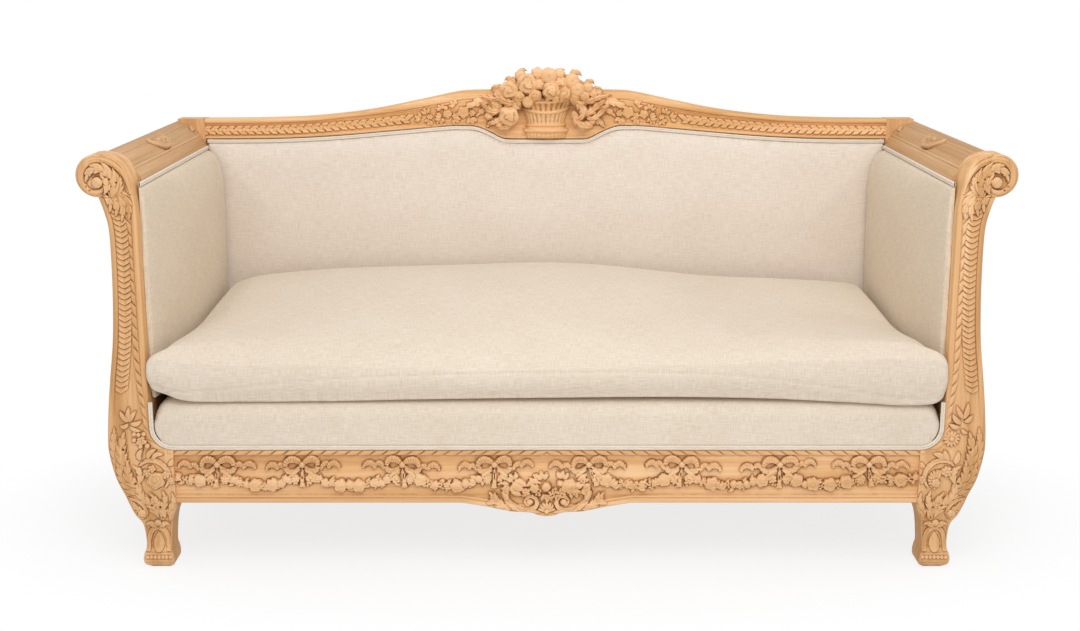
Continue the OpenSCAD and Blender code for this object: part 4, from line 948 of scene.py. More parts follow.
class Board:
    """A face to carve: places x, z on it and the height h of the wood, all in millimetres."""

    def __init__(self, x, z):
        x, z = np.broadcast_arrays(x, z)
        self.shape = x.shape
        self.x, self.z, self.h = x.ravel(), z.ravel(), np.zeros(x.size)

    def near(self, place, reach):
        """Numbers of the places in a square round a place, and their offsets from it."""
        k = np.flatnonzero((np.abs(self.x - place[0]) < reach) & (np.abs(self.z - place[1]) < reach))
        return k, self.x[k] - place[0], self.z[k] - place[1]

    def along(self, path, reach):
        """Places near a path: how far each lies along it, to its left, and past its ends; and its length."""
        path = even_path(smooth_curve(path, 8), 1.0)
        low, high = path.min(0) - reach, path.max(0) + reach
        k = np.flatnonzero((self.x > low[0]) & (self.x < high[0]) & (self.z > low[1]) & (self.z < high[1]))
        dx = self.x[k][:, None] - path[:, 0]
        dz = self.z[k][:, None] - path[:, 1]
        closest = np.argmin(dx * dx + dz * dz, 1)
        rows = np.arange(len(k))
        way = unit(np.gradient(path, axis=0))[closest]
        dx, dz = dx[rows, closest], dz[rows, closest]
        length = float(len(path) - 1) * np.linalg.norm(path[1] - path[0])
        run = closest * length / (len(path) - 1) + dx * way[:, 0] + dz * way[:, 1]
        past = np.maximum(np.maximum(-run, run - length), 0)
        return k, np.clip(run, 0, length), dz * way[:, 0] - dx * way[:, 1], past, length

    def lay(self, k, edge, top, groove=1.4, width=1.5):
        """The motif's top where edge is negative; outside, a groove exp(-(edge / width)^2) deep."""
        self.h[k] = np.where(edge < 0, top, self.h[k] - groove * bell(edge, width))

    def hollow(self):
        """How far each place lies below its surroundings, near and wide, and the height itself."""
        h = self.h.reshape(self.shape)
        near, wide, ground = (blurred(h, reach) - h for reach in (1, 3, 8))
        return 0.95 * near + 0.5 * wide + 0.08 * np.maximum(ground, 0), h


def carved_piece(name, rings, hollow, timber, node):
    """A closed piece from rings that start with the carved face; what follows in each ring is plain."""
    plain = np.zeros((len(rings), rings.shape[1] - hollow.shape[1]))
    hollow = np.append(np.hstack([hollow, plain]).ravel(), [0, 0])
    piece = make_piece(name, tube_shell(rings), hollow)
    return finish_piece(piece, timber, "frame", "limewood", node)


# %% [markdown]
# Leaves and bands follow a path. A leaf is widest a third of the way along; lobes cut its edge back like a
# saw, and the same saw presses a vein across it. A band is a strip whose section can be round, hollow or
# pleated like a gathered ribbon.


# %% Leaves and bands
def leaf(board, path, width, high=3.5, lift=1.2, lobes=0, notch=0.42, rib=1.0, flutes=0):
    """Half width w/2 sin(pi t^0.8)^0.8. A lobe starts wherever lobes (t - 1.1 d / length) is whole: the edge
    steps back there by notch, and a vein runs in to the rib."""
    k, run, side, past, length = board.along(path, width)
    t = run / length
    half = 0.5 * width * np.maximum(np.sin(np.pi * t ** 0.8), 0) ** 0.8 + 0.15
    part = np.ones_like(t)
    if lobes:
        part = (t - 1.1 * np.abs(side) / length) * lobes % 1
        half = half * (1 - notch * (1 - part) ** 1.5)
    across = side / half
    top = lift + high * (0.25 + 0.75 * domed(across)) * (0.6 + 0.4 * np.sin(np.pi * t))
    top = top - rib * bell(side, 0.9) * (1 - 0.6 * t)
    if lobes:
        top = top - 0.34 * high * (1 - part) ** 4 * ease(np.abs(side), 0.5, 3.0)
        top = top + 0.22 * high * np.sin(np.pi * part) * ease(np.abs(across), 0.3, 0.9)
    if flutes:
        top = top - 0.13 * high * (0.5 - 0.5 * np.cos(2 * np.pi * flutes * across))
    board.lay(k, np.maximum(np.abs(side) - half, past - 0.01), top)


def band(board, path, widths, high=2.5, lift=1.0, kind="round", pitch=5.5):
    """A strip with the given widths along its path. Round is a half round, hollow a channel between two
    rims, pleated a wave every pitch that fans out towards the outside."""
    k, run, side, past, length = board.along(path, max(widths))
    half = 0.5 * np.interp(run / length, np.linspace(0, 1, len(widths)), widths)
    share = np.clip(side / half, -1, 1)
    if kind == "hollow":
        top = lift + high * (0.45 + 0.55 * np.abs(share) ** 1.6) * domed(np.abs(share) ** 5)
    elif kind == "pleated":
        top = lift + high * domed(share ** 4) * (0.66 + 0.34 * np.cos(2 * np.pi * run / pitch + 0.5 * share))
    else:
        top = lift + high * domed(share)
    board.lay(k, np.maximum(np.abs(side) - half, past - 0.01), top)


def gouge(board, path, width, depth):
    """A cut with a round-nosed tool: depth exp(-(d / w)^2), tapering at both ends."""
    k, run, side, past, length = board.along(path, width * 3)
    taper = np.sin(np.pi * np.clip(run / length, 0.08, 0.92)) ** 0.5
    board.h[k] -= depth * taper * bell(np.hypot(side, past), width)


# %% [markdown]
# Flowers are written round their middle: a rose is a dome with petals wound up in a spiral, a daisy has
# its edge at |cos(n a / 2)|, and a bud, a berry or an apple is a plain dome.


# %% Flowers and fruit
def round_about(board, place, reach):
    """Places round a middle with their distance and their angle."""
    k, dx, dz = board.near(place, reach)
    return k, np.hypot(dx, dz), np.arctan2(dz, dx)


def rose(board, place, radius, high=4.0, lift=2.0, turn=0.0):
    """Rim r (1 + 0.08 cos 5a); petals frac(2.6 q - a / 2 pi + 0.1 sin 5a) of a spiral, on a dome."""
    k, r, a = round_about(board, place, radius * 1.5)
    rim = radius * (1 + 0.08 * np.cos(5 * a + turn))
    q = r / rim
    petal = (2.6 * q ** 0.8 - (a + turn) / (2 * np.pi) + 0.1 * np.sin(5 * a + turn)) % 1
    top = lift + high * (0.2 + 0.8 * domed(0.92 * q))
    board.lay(k, r - rim, top - 0.38 * high * (1 - petal) ** 1.6 * np.minimum(1, q * 4))


def daisy(board, place, radius, petals=7, high=2.6, lift=2.0, turn=0.0):
    """Petals of length r (0.6 + 0.4 |cos(n a / 2)|), each with a groove, round a domed eye."""
    k, r, a = round_about(board, place, radius * 1.3)
    wave = np.abs(np.cos(petals * (a + turn) / 2))
    rim = radius * (0.6 + 0.4 * wave ** 0.6)
    q = r / radius
    top = lift + high * (0.35 + 0.65 * wave ** 0.7) * (0.65 + 0.35 * np.sin(np.pi * np.clip(q, 0, 1)))
    eye = lift + high * 0.55 + 0.3 * radius * domed(r / (0.3 * radius))
    top = np.where(r < 0.3 * radius, eye, top - 0.8 * bell(r - 0.32 * radius, 0.9))
    board.lay(k, r - rim, top)


def bud(board, place, radius, high=None, lift=1.5, slit=0.0):
    """A round bud, berry or apple: a dome as high as it is wide, or as told, with a slit where it opens."""
    k, r, a = round_about(board, place, radius * 1.6)
    top = lift + (high or 0.8 * radius) * domed(r / (radius * 1.02))
    if slit:
        top = top - slit * bell(r * np.sin(a - 0.8), 0.7) * (r > 0.1 * radius)
    board.lay(k, r - radius, top)


def berries(board, place, count, radius, spread_out, turn=0.0):
    """Berries on a sunflower spiral: the n-th at angle 2.4 n, distance sqrt(n) times the spread."""
    for n in range(count):
        a = turn + 2.4 * n
        d = spread_out * math.sqrt(n)
        bud(board, (place[0] + d * math.cos(a), place[1] + d * math.sin(a)), radius, lift=2.2)


def tulip(board, place, radius, degrees, high=4.0):
    """Three petals side by side that open in one direction, the middle one in front."""
    a = math.radians(degrees)
    way, side = np.array([math.cos(a), math.sin(a)]), np.array([-math.sin(a), math.cos(a)])
    base = np.array(place) - way * radius
    for lean in (-0.55, 0.55, 0):
        tip = base + way * radius * 2.1 + side * lean * radius * 1.6
        belly = base + way * radius * 0.9 + side * lean * radius * 1.3
        leaf(board, [base, belly, tip], radius * 1.25, high=high, lift=2.0)


def sprig(board, place, size, degrees, count=3, fan=38, high=3.0, lift=1.0):
    """Leaves that spread like fingers from one place."""
    for n in range(count):
        a = math.radians(degrees + fan * (n - (count - 1) / 2))
        start = np.array(place, float)
        tip = start + size * np.array([math.cos(a), math.sin(a)])
        bend = 0.14 * size * np.array([-math.sin(a), math.cos(a)]) * (n - (count - 1) / 2 or 0.5)
        leaf(board, [start, (start + tip) / 2 + bend, tip], size * 0.55, high=high, lift=lift)


# %% [markdown]
# Ribbon work: a bow of pleated loops and tails round a knot, a tassel on cords, and the rope twist that
# runs round the seat opening. The twist is a half round cut by slanting grooves at even steps.


# %% Ribbons and rope
BOW_PARTS = (
    ([(34, -12), (38, -3), (45, 0), (51, -5)], [6, 9, 10, 7], 3.0, 0.8),
    ([(50, -9), (54, -1), (62, 2), (70, -3), (72, -9)], [6, 10, 11, 8, 5], 3.4, 1.2),
    ([(32, -4), (27, -13), (15, -12), (4, -3)], [10, 10, 7, 5], 2.8, 1.4),
    ([(3, 2), (9, 8), (19, 11), (28, 7), (32, -3)], [7, 12, 14, 11, 8], 3.6, 2.0),
)


def bow(board, place, lean=0.0, turn=0):
    """Tails, lower loops and upper loops on both sides of a knot; lean and turn make the two sides unlike."""
    for n, (path, widths, high, lift) in enumerate(BOW_PARTS):
        for sign in (-1, 1):
            stir = 1.5 * np.sin(2.1 * n + 1.7 * turn + sign)
            wide = 1 + 0.05 * np.sin(1.3 * n + 2.9 * turn - sign)
            shape = [(place[0] + sign * x * wide, place[1] + z + stir * x / 60 + sign * lean * x / 30)
                     for x, z in path]
            band(board, shape, widths, high, lift, "pleated", pitch=4.6)
    bud(board, place, 6.0, high=4.0, lift=3.0)


def tassel(board, place, degrees, length=30.0):
    """Two cords and a grooved cup of threads, hanging from a place in a direction."""
    a = math.radians(degrees)
    way, side = np.array([math.cos(a), math.sin(a)]), np.array([-math.sin(a), math.cos(a)])
    top = np.array(place, float)
    for shift in (-2.4, 2.4):
        band(board, [top, top + way * length * 0.5 + side * shift * 0.8, top + way * length + side * shift],
             [2.6, 3.2], 1.6, 1.0)
    cup = top + way * length
    band(board, [cup, cup + way * 13], [7, 9, 13], 3.6, 2.0, "pleated", pitch=40)
    for shift in (-3, 0, 3):
        gouge(board, [cup + way * 3 + side * shift * 0.6, cup + way * 13 + side * shift], 0.7, 1.1)
    bud(board, cup, 4.0, high=3.0, lift=2.4)


ROPE_HALF, ROPE_HIGH = 5.6, 3.4


def twist(across, run, pitch, slant, high):
    """Rope: a half round of height high, and a groove wherever run / pitch + slant times across is whole."""
    phase = run / pitch + slant * across
    from_cut = np.abs(phase - np.round(phase)) * pitch
    body = domed(across) * (0.78 + 0.22 * np.cos(np.pi * (1 - 2 * from_cut / pitch)))
    return high * body - high * bell(from_cut, 1.9) * domed(across * 0.9)


print("carving tools ready")

# %% [markdown]
# Each front post is one timber from scroll to foot. Its face is a board in u, the distance outwards from
# the seat opening, and z. Two outlines bound it, a third curve is its profile from the side, and its relief
# stands out from there: scales and a rope down the shaft, flowers and acanthus at the corner and the leg.

# %% Outlines of the front post
SCROLL_U, SCROLL_Z, SCROLL_R = 69.0, 776.0, 40.0
POST_OUTER = smooth_curve([
    (15.5, 0), (23.5, 7), (26.5, 18), (24.5, 31), (21, 40), (21.5, 60), (26, 90), (38, 108), (46, 128),
    (54.7, 154), (66.9, 183), (77.9, 225), (82, 263), (77.1, 327), (70.1, 385), (60, 462), (55, 539),
    (53, 616), (53.9, 677), (61.1, 712), (69, 736),
])
POST_INNER = smooth_curve([
    (-24, 0), (-32, 7), (-33.5, 18), (-31.5, 31), (-29, 40), (-30, 60), (-32.5, 86), (-36, 105), (-41, 118),
    (-44, 130), (-44, 137),
])
POST_INNER_HEAD = smooth_curve([
    (0, 288), (0, 420), (0, 600), (0, 696), (4.1, 740), (9.7, 772.8), (22.1, 797.2), (40, 810.8),
    (59.3, 815.6), (68, 816),
])
POST_PROFILE = smooth_curve([
    (-340.7, 0), (-352, 10), (-355, 24), (-351, 38), (-345, 52), (-344, 81), (-350, 120), (-355, 150),
    (-358, 195), (-354, 240), (-350, 280), (-350, 400), (-350, 600), (-350, 816),
])
POST_WAIST = np.array([(0, 9), (20, 6), (81, 6), (140, 1), (240, 0)])  # how far in the back of the leg is
LEG_PANEL = 1.2
EDGE_ROUND = 3.5
FACE_COLUMNS = 104


def at_height(curve, z):
    """The first coordinate of a curve where its second is z."""
    order = np.argsort(curve[:, 1], kind="stable")
    return np.interp(z, curve[order, 1], curve[order, 0])


def post_heights():
    """Levels 1.15 mm apart, closer where the seat corner turns flat and at the top of the scroll."""
    corner = CORNER_R * (1 - np.cos(np.linspace(0, np.pi / 2, 62)))
    crown = 5 * (1 - np.linspace(0, 1, 12) ** 2)
    return np.unique(np.concatenate([
        np.linspace(0, RAIL_TOP, 214), RAIL_TOP + corner,
        np.linspace(RAIL_TOP + CORNER_R, POST_TOP - 5, 452), POST_TOP - crown]).round(4))


def post_edges(z):
    """Inner and outer edge of the face at each height."""
    inner = np.where(z < RAIL_TOP, at_height(POST_INNER, z), at_height(POST_INNER_HEAD, z))
    turn = (z >= RAIL_TOP) & (z < RAIL_TOP + CORNER_R)
    arc = np.sqrt(np.maximum(0, CORNER_R ** 2 - (z - RAIL_TOP - CORNER_R) ** 2)) - CORNER_R
    inner = np.where(turn, arc, inner)
    scroll = SCROLL_U + np.sqrt(np.maximum(0, SCROLL_R ** 2 - (z - SCROLL_Z) ** 2))
    outer = np.where(z < SCROLL_Z - SCROLL_R, at_height(POST_OUTER, z), scroll)
    return inner, np.maximum(outer, inner + 0.4)


def edge_distance(z, inner, outer):
    """Distances in from both edges, and the places u of the face. Level distances are shortened by the
    edge's slope, and those round the arcs are true."""
    longer_in, longer_out = (np.sqrt(1 + np.gradient(edge, z) ** 2)[:, None] for edge in (inner, outer))
    z, inner, outer = z[:, None], inner[:, None], outer[:, None]
    u = inner + (outer - inner) * spread(0, 1, FACE_COLUMNS, 0.3)
    arc = np.hypot(u + CORNER_R, z - RAIL_TOP - CORNER_R) - CORNER_R
    from_in = np.where((z >= RAIL_TOP - 1) & (z < RAIL_TOP + CORNER_R), arc, (u - inner) / longer_in)
    scroll = SCROLL_R - np.hypot(u - SCROLL_U, z - SCROLL_Z)
    in_scroll = (u > SCROLL_U - 12) & (z > SCROLL_Z - SCROLL_R + 4)
    return np.maximum(from_in, 0), np.where(in_scroll, scroll, np.maximum((outer - u) / longer_out, 0)), u


# %% [markdown]
# The shaft's bands follow its edges. From inside: a plain rounded rim, the rope, a plain strip, a band of
# overlapping scales whose tips point down, and the outer rim. Towards the seat corner the rim runs out and
# the rope moves to the edge.

# %% Shaft of the post
ROPE_PITCH = 22.5
SCALE_PITCH = 10.8
SCALE_HALF = 12.0
SCALE_IN = 23.5  # centre of the scales, from the outer edge


def carve_shaft(board, from_in, from_out):
    """Rims, rope and scales, each a height over the distance from an edge."""
    z = board.z
    u = board.x
    from_in, from_out = from_in.ravel(), from_out.ravel()
    shaft = ease(z, 292, 340) * (1 - ease(z, 735, 790))
    board.h -= 1.7 * ease(from_in, 9, 12) * ease(from_out, 9, 12) * ease(z, 262, 330)
    board.h += 1.1 * domed((from_out - 5.5) / 5.5) * ease(z, 285, 340)
    board.h += 1.5 * domed((from_in - 5.0) / 5.0) * ease(z, 300, 380)
    run = np.where(z > RAIL_TOP + CORNER_R, z - RAIL_TOP - CORNER_R,
                   -CORNER_R * np.arctan2(RAIL_TOP + CORNER_R - z, np.maximum(u + CORNER_R, 1e-3)))
    centre = 6 + 10.5 * ease(z, 270, 420)
    across = (from_in - centre) / ROPE_HALF
    rope = twist(across, run + CORNER_R * np.pi / 2, ROPE_PITCH, -0.3, ROPE_HIGH) * (1 - ease(z, 690, 735))
    on_rope = (np.abs(across) < 1) & (z > RAIL_TOP - 6) & (z < 735)
    board.h = np.where(on_rope, np.maximum(board.h - 0.8, rope - 0.9), board.h)
    for line in (4.6, 8.8):
        board.h -= 1.1 * bell(from_in - line, 0.8) * ease(z, 690, 740)
    across = (from_out - SCALE_IN) / SCALE_HALF
    phase = (z - 358) / SCALE_PITCH - 0.66 * np.abs(across) ** 1.3
    part = phase % 1
    lobe = 0.35 + 0.65 * domed((np.abs(across) - 0.5) / 0.56)
    scale = 0.6 + 3.9 * (1 - part) ** 0.75 * lobe
    scale -= 1.2 * bell((1 - part) * SCALE_PITCH, 1.4)
    on_scale = (np.abs(across) < 1) & (phase > 0) & (z < 738)
    board.h = np.where(on_scale, scale - 1.6, board.h)
    board.h -= 1.0 * bell((np.abs(across) - 1.04) * SCALE_HALF, 1.2) * shaft


SCROLL_RIM = (
    (8, 742), (15, 770), (28, 790), (46, 802), (68, 806), (86, 800), (97, 785), (98, 766), (88, 750),
    (74, 745), (60, 750), (55, 762), (60, 773),
)
SCROLL_GROOVES = (
    [(13, 748), (20, 772), (33, 791), (52, 803), (70, 806), (88, 799), (99, 783), (98, 764)],
    [(17, 742), (25, 768), (38, 785), (56, 796), (70, 798), (84, 792), (91, 780), (90, 766)],
)
SCROLL_LEAVES = (
    # path, width, height, lift, lobes, flutes
    ([(38, 752), (24, 742), (14, 722), (13, 694)], 19, 3.6, 0.8, 4, 0),
    ([(42, 756), (30, 738), (24, 716), (27, 690)], 17, 3.8, 1.4, 4, 0),
    ([(50, 748), (40, 734), (35, 718), (37, 700)], 15, 3.8, 1.8, 3, 0),
    ([(60, 742), (50, 733), (46, 722), (48, 708)], 13, 3.6, 2.2, 2, 0),
    ([(34, 738), (27, 756), (33, 776), (46, 790)], 17, 3.6, 1.6, 4, 0),
    ([(44, 734), (38, 756), (46, 780), (64, 791), (82, 784), (90, 764)], 27, 5.0, 2.0, 6, 1),
    ([(56, 742), (50, 756), (54, 770), (62, 779)], 15, 4.2, 3.0, 3, 0),
)


def carve_scroll(board):
    """The rim's two grooves wind round to the eye; a lobed leaf lies over it and smaller ones hang below."""
    band(board, SCROLL_RIM, [3, 8, 10, 11, 12, 12, 11, 9, 7], 2.6, 0.4)
    for path in SCROLL_GROOVES:
        gouge(board, path, 0.9, 1.3)
    for path, width, high, lift, lobes, flutes in SCROLL_LEAVES:
        leaf(board, path, width, high, lift, lobes, flutes=flutes)
    for hole in ((90, 756), (84, 749), (64, 780), (45, 770), (33, 764)):
        bud(board, hole, 1.6, high=-1.5, lift=0.6)
    bud(board, (68, 764), 10.5, high=5.4, lift=3.0, slit=1.2)


# %% [markdown]
# At the corner the photograph shows unlike carving on the two sides, so the corners share the large forms
# and have small ones of their own: a rose and berries on the left, an open daisy and a shell on the right.

# %% Corner and leg of the post
SHARED_LEAVES = (
    # path, width, height, lift, lobes, flutes
    ([(60, 206), (67, 228), (70, 256), (67, 290)], 19, 3.2, 0.8, 5, 1),
    ([(40, 196), (52, 218), (56, 246), (49, 282)], 25, 4.2, 1.4, 5, 1),
    ([(14, 140), (34, 160), (54, 186), (66, 222)], 24, 3.8, 1.0, 6, 1),
    ([(20, 150), (30, 172), (44, 192), (44, 226)], 23, 4.4, 1.8, 5, 1),
    ([(26, 176), (20, 192), (24, 206), (36, 214)], 15, 3.8, 1.6, 3, 0),
    ([(-8, 106), (4, 132), (22, 152), (30, 180)], 23, 4.4, 2.0, 6, 1),
    ([(-12, 104), (-14, 122), (-6, 142), (6, 160)], 16, 3.8, 1.8, 4, 0),
    ([(-20, 102), (-18, 124), (-24, 144), (-20, 164)], 16, 4.0, 1.6, 4, 1),
    ([(-28, 102), (-32, 122), (-40, 140), (-38, 160)], 15, 3.2, 1.0, 4, 0),
    ([(-28, 98), (-33, 108), (-40, 118), (-44, 130)], 12, 3.0, 1.2, 0, 0),
    ([(20, 104), (28, 120), (38, 130), (48, 150)], 15, 3.8, 1.2, 3, 1),
)
SHARED_BANDS = (
    ([(22, 214), (6, 224), (-14, 222), (-30, 208), (-35, 188), (-26, 170)], [4, 8, 9, 9, 7, 5], 3.4, 1.0),
    ([(46, 146), (30, 142), (18, 128), (16, 112), (26, 104), (33, 112)], [5, 7, 8, 7, 6, 5], 3.2, 1.2),
)
CORNER_LEAVES = {
    "left": (([(38, 300), (32, 312), (24, 322)], 9), ([(38, 300), (40, 314), (37, 330)], 9),
             ([(40, 300), (49, 310), (55, 322)], 9), ([(36, 296), (24, 296), (14, 303)], 9),
             ([(40, 296), (48, 290), (57, 292)], 8), ([(37, 292), (28, 284), (16, 282)], 8),
             ([(-34, 214), (-44, 221), (-56, 217)], 11), ([(6, 228), (0, 240), (-12, 246)], 10),
             ([(20, 224), (22, 236), (14, 248)], 10), ([(-2, 226), (-12, 236), (-26, 236)], 9)),
    "right": (([(36, 306), (28, 318), (22, 332)], 9), ([(37, 306), (42, 320), (44, 338)], 9),
              ([(32, 296), (22, 304), (14, 316)], 10), ([(38, 300), (46, 304), (54, 314)], 9),
              ([(30, 290), (20, 290), (8, 297)], 9), ([(34, 286), (38, 280), (46, 278)], 8),
              ([(-34, 212), (-44, 216), (-56, 214)], 10), ([(4, 226), (-6, 234), (-20, 238)], 11),
              ([(12, 224), (6, 234), (2, 246)], 10), ([(22, 218), (28, 228), (30, 242)], 11)),
}


def carve_corner(board, hand):
    """Sprays above, a C-scroll round a rose or shell, long acanthus down to the knee."""
    for path, width, high, lift, lobes, flutes in SHARED_LEAVES:
        leaf(board, path, width, high, lift, lobes, flutes=flutes)
    for path, widths, high, lift in SHARED_BANDS:
        band(board, path, widths, high, lift, "hollow")
    for path, width in CORNER_LEAVES[hand]:
        leaf(board, path, width, 3.0, 1.4)
    if hand == "left":
        berries(board, (19, 266), 9, 4.4, 5.2, 0.4)
        daisy(board, (18, 262), 8, 6, turn=0.3)
        bud(board, (5, 253), 5)
        rose(board, (-9, 185), 17, 4.6, 2.2, turn=1.0)
        for place in ((-29, 196), (8, 200), (-2, 208)):
            daisy(board, place, 8, 5, lift=2.4, turn=place[0])
        daisy(board, (-41, 184), 8.5, 6, lift=2.0)
    else:
        daisy(board, (15, 267), 16, 12, high=2.4, lift=2.0)
        for turn in range(9):
            a = math.radians(250 - 22 * turn)
            tip = (-8 + 20 * math.cos(a), 186 + 20 * math.sin(a))
            band(board, [(-8, 186), tip], [2, 5.5, 6.5], 2.4, 1.6)
        daisy(board, (8, 203), 11, 7, high=3.0, lift=3.0)
        rose(board, (-12, 180), 8.5, 3.8, 3.4)
        daisy(board, (-42, 186), 9, 6, lift=2.0)
    for hole in ((31, 178), (-13, 128), (52, 246), (3, 132)):
        bud(board, hole, 2.2, high=-2.4, lift=0.0)
    bud(board, (24, 114), 8.5, high=5.0, lift=1.6, slit=1.0)


LEG_MIDDLE, FOOT_TOP = -4.5, 34.0


def carve_leg(board):
    """A tongue inside an arched rib, knobs at the ankle, and beads round the foot."""
    z = board.z

    def at(*places, sign=1):
        return [(LEG_MIDDLE + sign * u, height) for u, height in places]
    arch = at((-20, 36), (-19, 58), (-13, 76), (0, 84), (13, 76), (19, 58), (20, 36))
    band(board, arch, [8, 8, 9, 10, 9, 8, 8], 3.2, 0.6, "hollow")
    leaf(board, at((0, 32), (0, 50), (0, 74)), 21, 3.6, 0.6, rib=0.0)
    for sign in (-1, 1):
        bud(board, *at((13, 44), sign=sign), 2.4, high=-2.6, lift=0.0)
        leaf(board, at((2, 82), (14, 92), (24, 90), sign=sign), 12, 3.2, 1.4, lobes=2)
        band(board, at((24, 40), (25, 62), (27, 84), sign=sign), [4, 5, 6], 2.0, 0.4)
    bud(board, (LEG_MIDDLE, 93), 7.0, high=4.0, lift=1.6, slit=0.8)
    board.h = np.where(z < FOOT_TOP, 0.0, board.h)
    board.h -= 1.8 * bell(z - 33, 1.5) + 1.2 * bell(z - 12, 1.2)
    for n in range(7):
        bud(board, (LEG_MIDDLE - 22.5 + 7.5 * n, 24), 4.0, high=2.4, lift=0.4)


# %% [markdown]
# The face is now bent into the solid: each level is a ring of the carved face, the side, the back and the
# other side. The inner side of the leg has a shallow panel, as the photograph shows where it is seen.

# %% Front posts
def front_post(side, hand):
    """Rings from foot to scroll; the face stands at the profile's y less the relief."""
    z = post_heights()
    inner, outer = post_edges(z)
    from_in, from_out, u = edge_distance(z, inner, outer)
    z, inner, outer = z[:, None], inner[:, None], outer[:, None]
    board = Board(u, z)
    carve_shaft(board, from_in, from_out)
    carve_scroll(board)
    carve_corner(board, hand)
    carve_leg(board)
    hollow, h = board.hollow()
    at_rail = (z > LEG_H + 1) & (z < RAIL_TOP)
    near = np.minimum(np.where(at_rail, 99, from_in), from_out)
    near = np.minimum(near, POST_TOP - z + 0.6)
    y_face = at_height(POST_PROFILE, z) - h * ease(near, 0.5, 6) + rounding(near, EDGE_ROUND)
    back = POST_BACK_Y - read_off(POST_WAIST, z)
    share = np.linspace(0, 1, 8)[1:-1]
    sunk = LEG_PANEL * ease(z, 40, 60) * (1 - ease(z, 100, 118)) * np.sin(np.pi * share)
    y_out = y_face[:, -1:] + (back - y_face[:, -1:]) * share
    y_in = (y_face[:, :1] + (back - y_face[:, :1]) * share)[:, ::-1]
    u_back = outer + (inner - outer) * spread(0, 1, 10, 0.5)
    u = np.hstack([u, outer - sunk, u_back, inner + sunk])
    y = np.hstack([y_face, y_out, np.broadcast_to(back, u_back.shape), y_in])
    rings = points_at(side * (HALF_IN + u), y, z)
    return carved_piece(f"carved_front_post_{hand}", rings, hollow, lime_upright, f"front_post_{hand}")


for side, hand in SIDES:
    front_post(side, hand)

# %% [markdown]
# The front rail is carved along its whole length: a rope under the seat, a sunk field with eight ribbon
# bows and a garland hung from bow to bow, a moulding that follows the lower edge, and in the middle two
# facing scrolls over a small shell.

# %% Ground of the front rail
rail_low, rail_high = node_box("front_seat_rail")
APRON_HALF = 165.0
APRON_DROP = LEG_H - rail_low[2]
APRON_EDGE = smooth_curve([(0, 1), (0.09, 0.93), (0.2, 0.72), (0.42, 0.64), (0.7, 0.3), (1, 0)])
BOW_PLACES = (-639, -474, -280, -101, 82, 262, 452, 625)  # no two gaps between bows are alike
BOW_Z = 214.0
RAIL_ROPE_PITCH = SEAM_X / 30  # whole twists from the middle to the seam
FIELD_SUNK = 3.0
MOULDING = 15.0
RAIL_ROUND = 2.5  # round of both long edges


def apron_z(x):
    """Lower edge of the front rail at a place across."""
    share = read_off(APRON_EDGE, np.abs(x) / APRON_HALF)
    return LEG_H - APRON_DROP * np.where(np.abs(x) < APRON_HALF, share, 0)


def rail_ground(board):
    """Field sunk between the rope above and the moulding below, which has a broad and a narrow bead."""
    x, z = board.x, board.z
    up = z - apron_z(x)
    field = ease(up, MOULDING - 0.5, MOULDING + 1.5) * (1 - ease(z, 231.5, 233.5))
    board.h = -FIELD_SUNK * field
    board.h += np.where(up < 10, 1.0 * domed((up - 5) / 5.2), 0)
    board.h += np.where(np.abs(up - 12.8) < 2.0, 0.7 * domed((up - 12.8) / 2.0), 0)
    board.h -= 1.2 * bell(up - 10.4, 0.7)
    across = (z - (RAIL_TOP - 5.8)) / ROPE_HALF
    rope = twist(across, np.abs(x), RAIL_ROPE_PITCH, 0.28, ROPE_HIGH)
    board.h = np.where(np.abs(across) < 1, rope - 0.7, board.h)


# %% [markdown]
# A garland is strung along a sagging line. First leaves point out on both sides, then flowers of several
# kinds lie on them, in an order drawn by a seeded generator, so that no two stretches are alike.

# %% Garland
LEAF_STEP = 8.5
FLOWER_STEP = 1.62  # from one flower to the next, in reaches
END_STRETCH = 0.12  # share of a garland, at either end, that has small flowers
KINDS = ("rose", "daisy", "small_rose", "tulip", "berries", "apple", "rose", "daisies")
KIND_REACH = {"rose": 11.5, "small_rose": 7.5, "daisy": 7.5, "tulip": 7.0, "berries": 6.5, "apple": 6.5,
              "daisies": 7.5}


def flower(board, kind, place, turn, lift, scale=1.0):
    """One motif of the garland by its name."""
    reach = KIND_REACH[kind] * scale
    x, z = place
    if kind in ("rose", "small_rose"):
        rose(board, place, reach, 3.9, lift, turn)
    elif kind == "daisy":
        daisy(board, place, reach, 6, lift=lift, turn=turn)
    elif kind == "tulip":
        tulip(board, place, reach, math.degrees(turn) % 360)
    elif kind == "berries":
        berries(board, place, 7, 2.7, 3.0, turn)
    elif kind == "apple":
        bud(board, place, reach, high=4.2, lift=lift, slit=0.9)
    else:
        for n in range(3):
            a = turn + 2.1 * n
            daisy(board, (x + 5 * math.cos(a), z + 4.5 * math.sin(a)), 5.2, 5, lift=lift, turn=a)


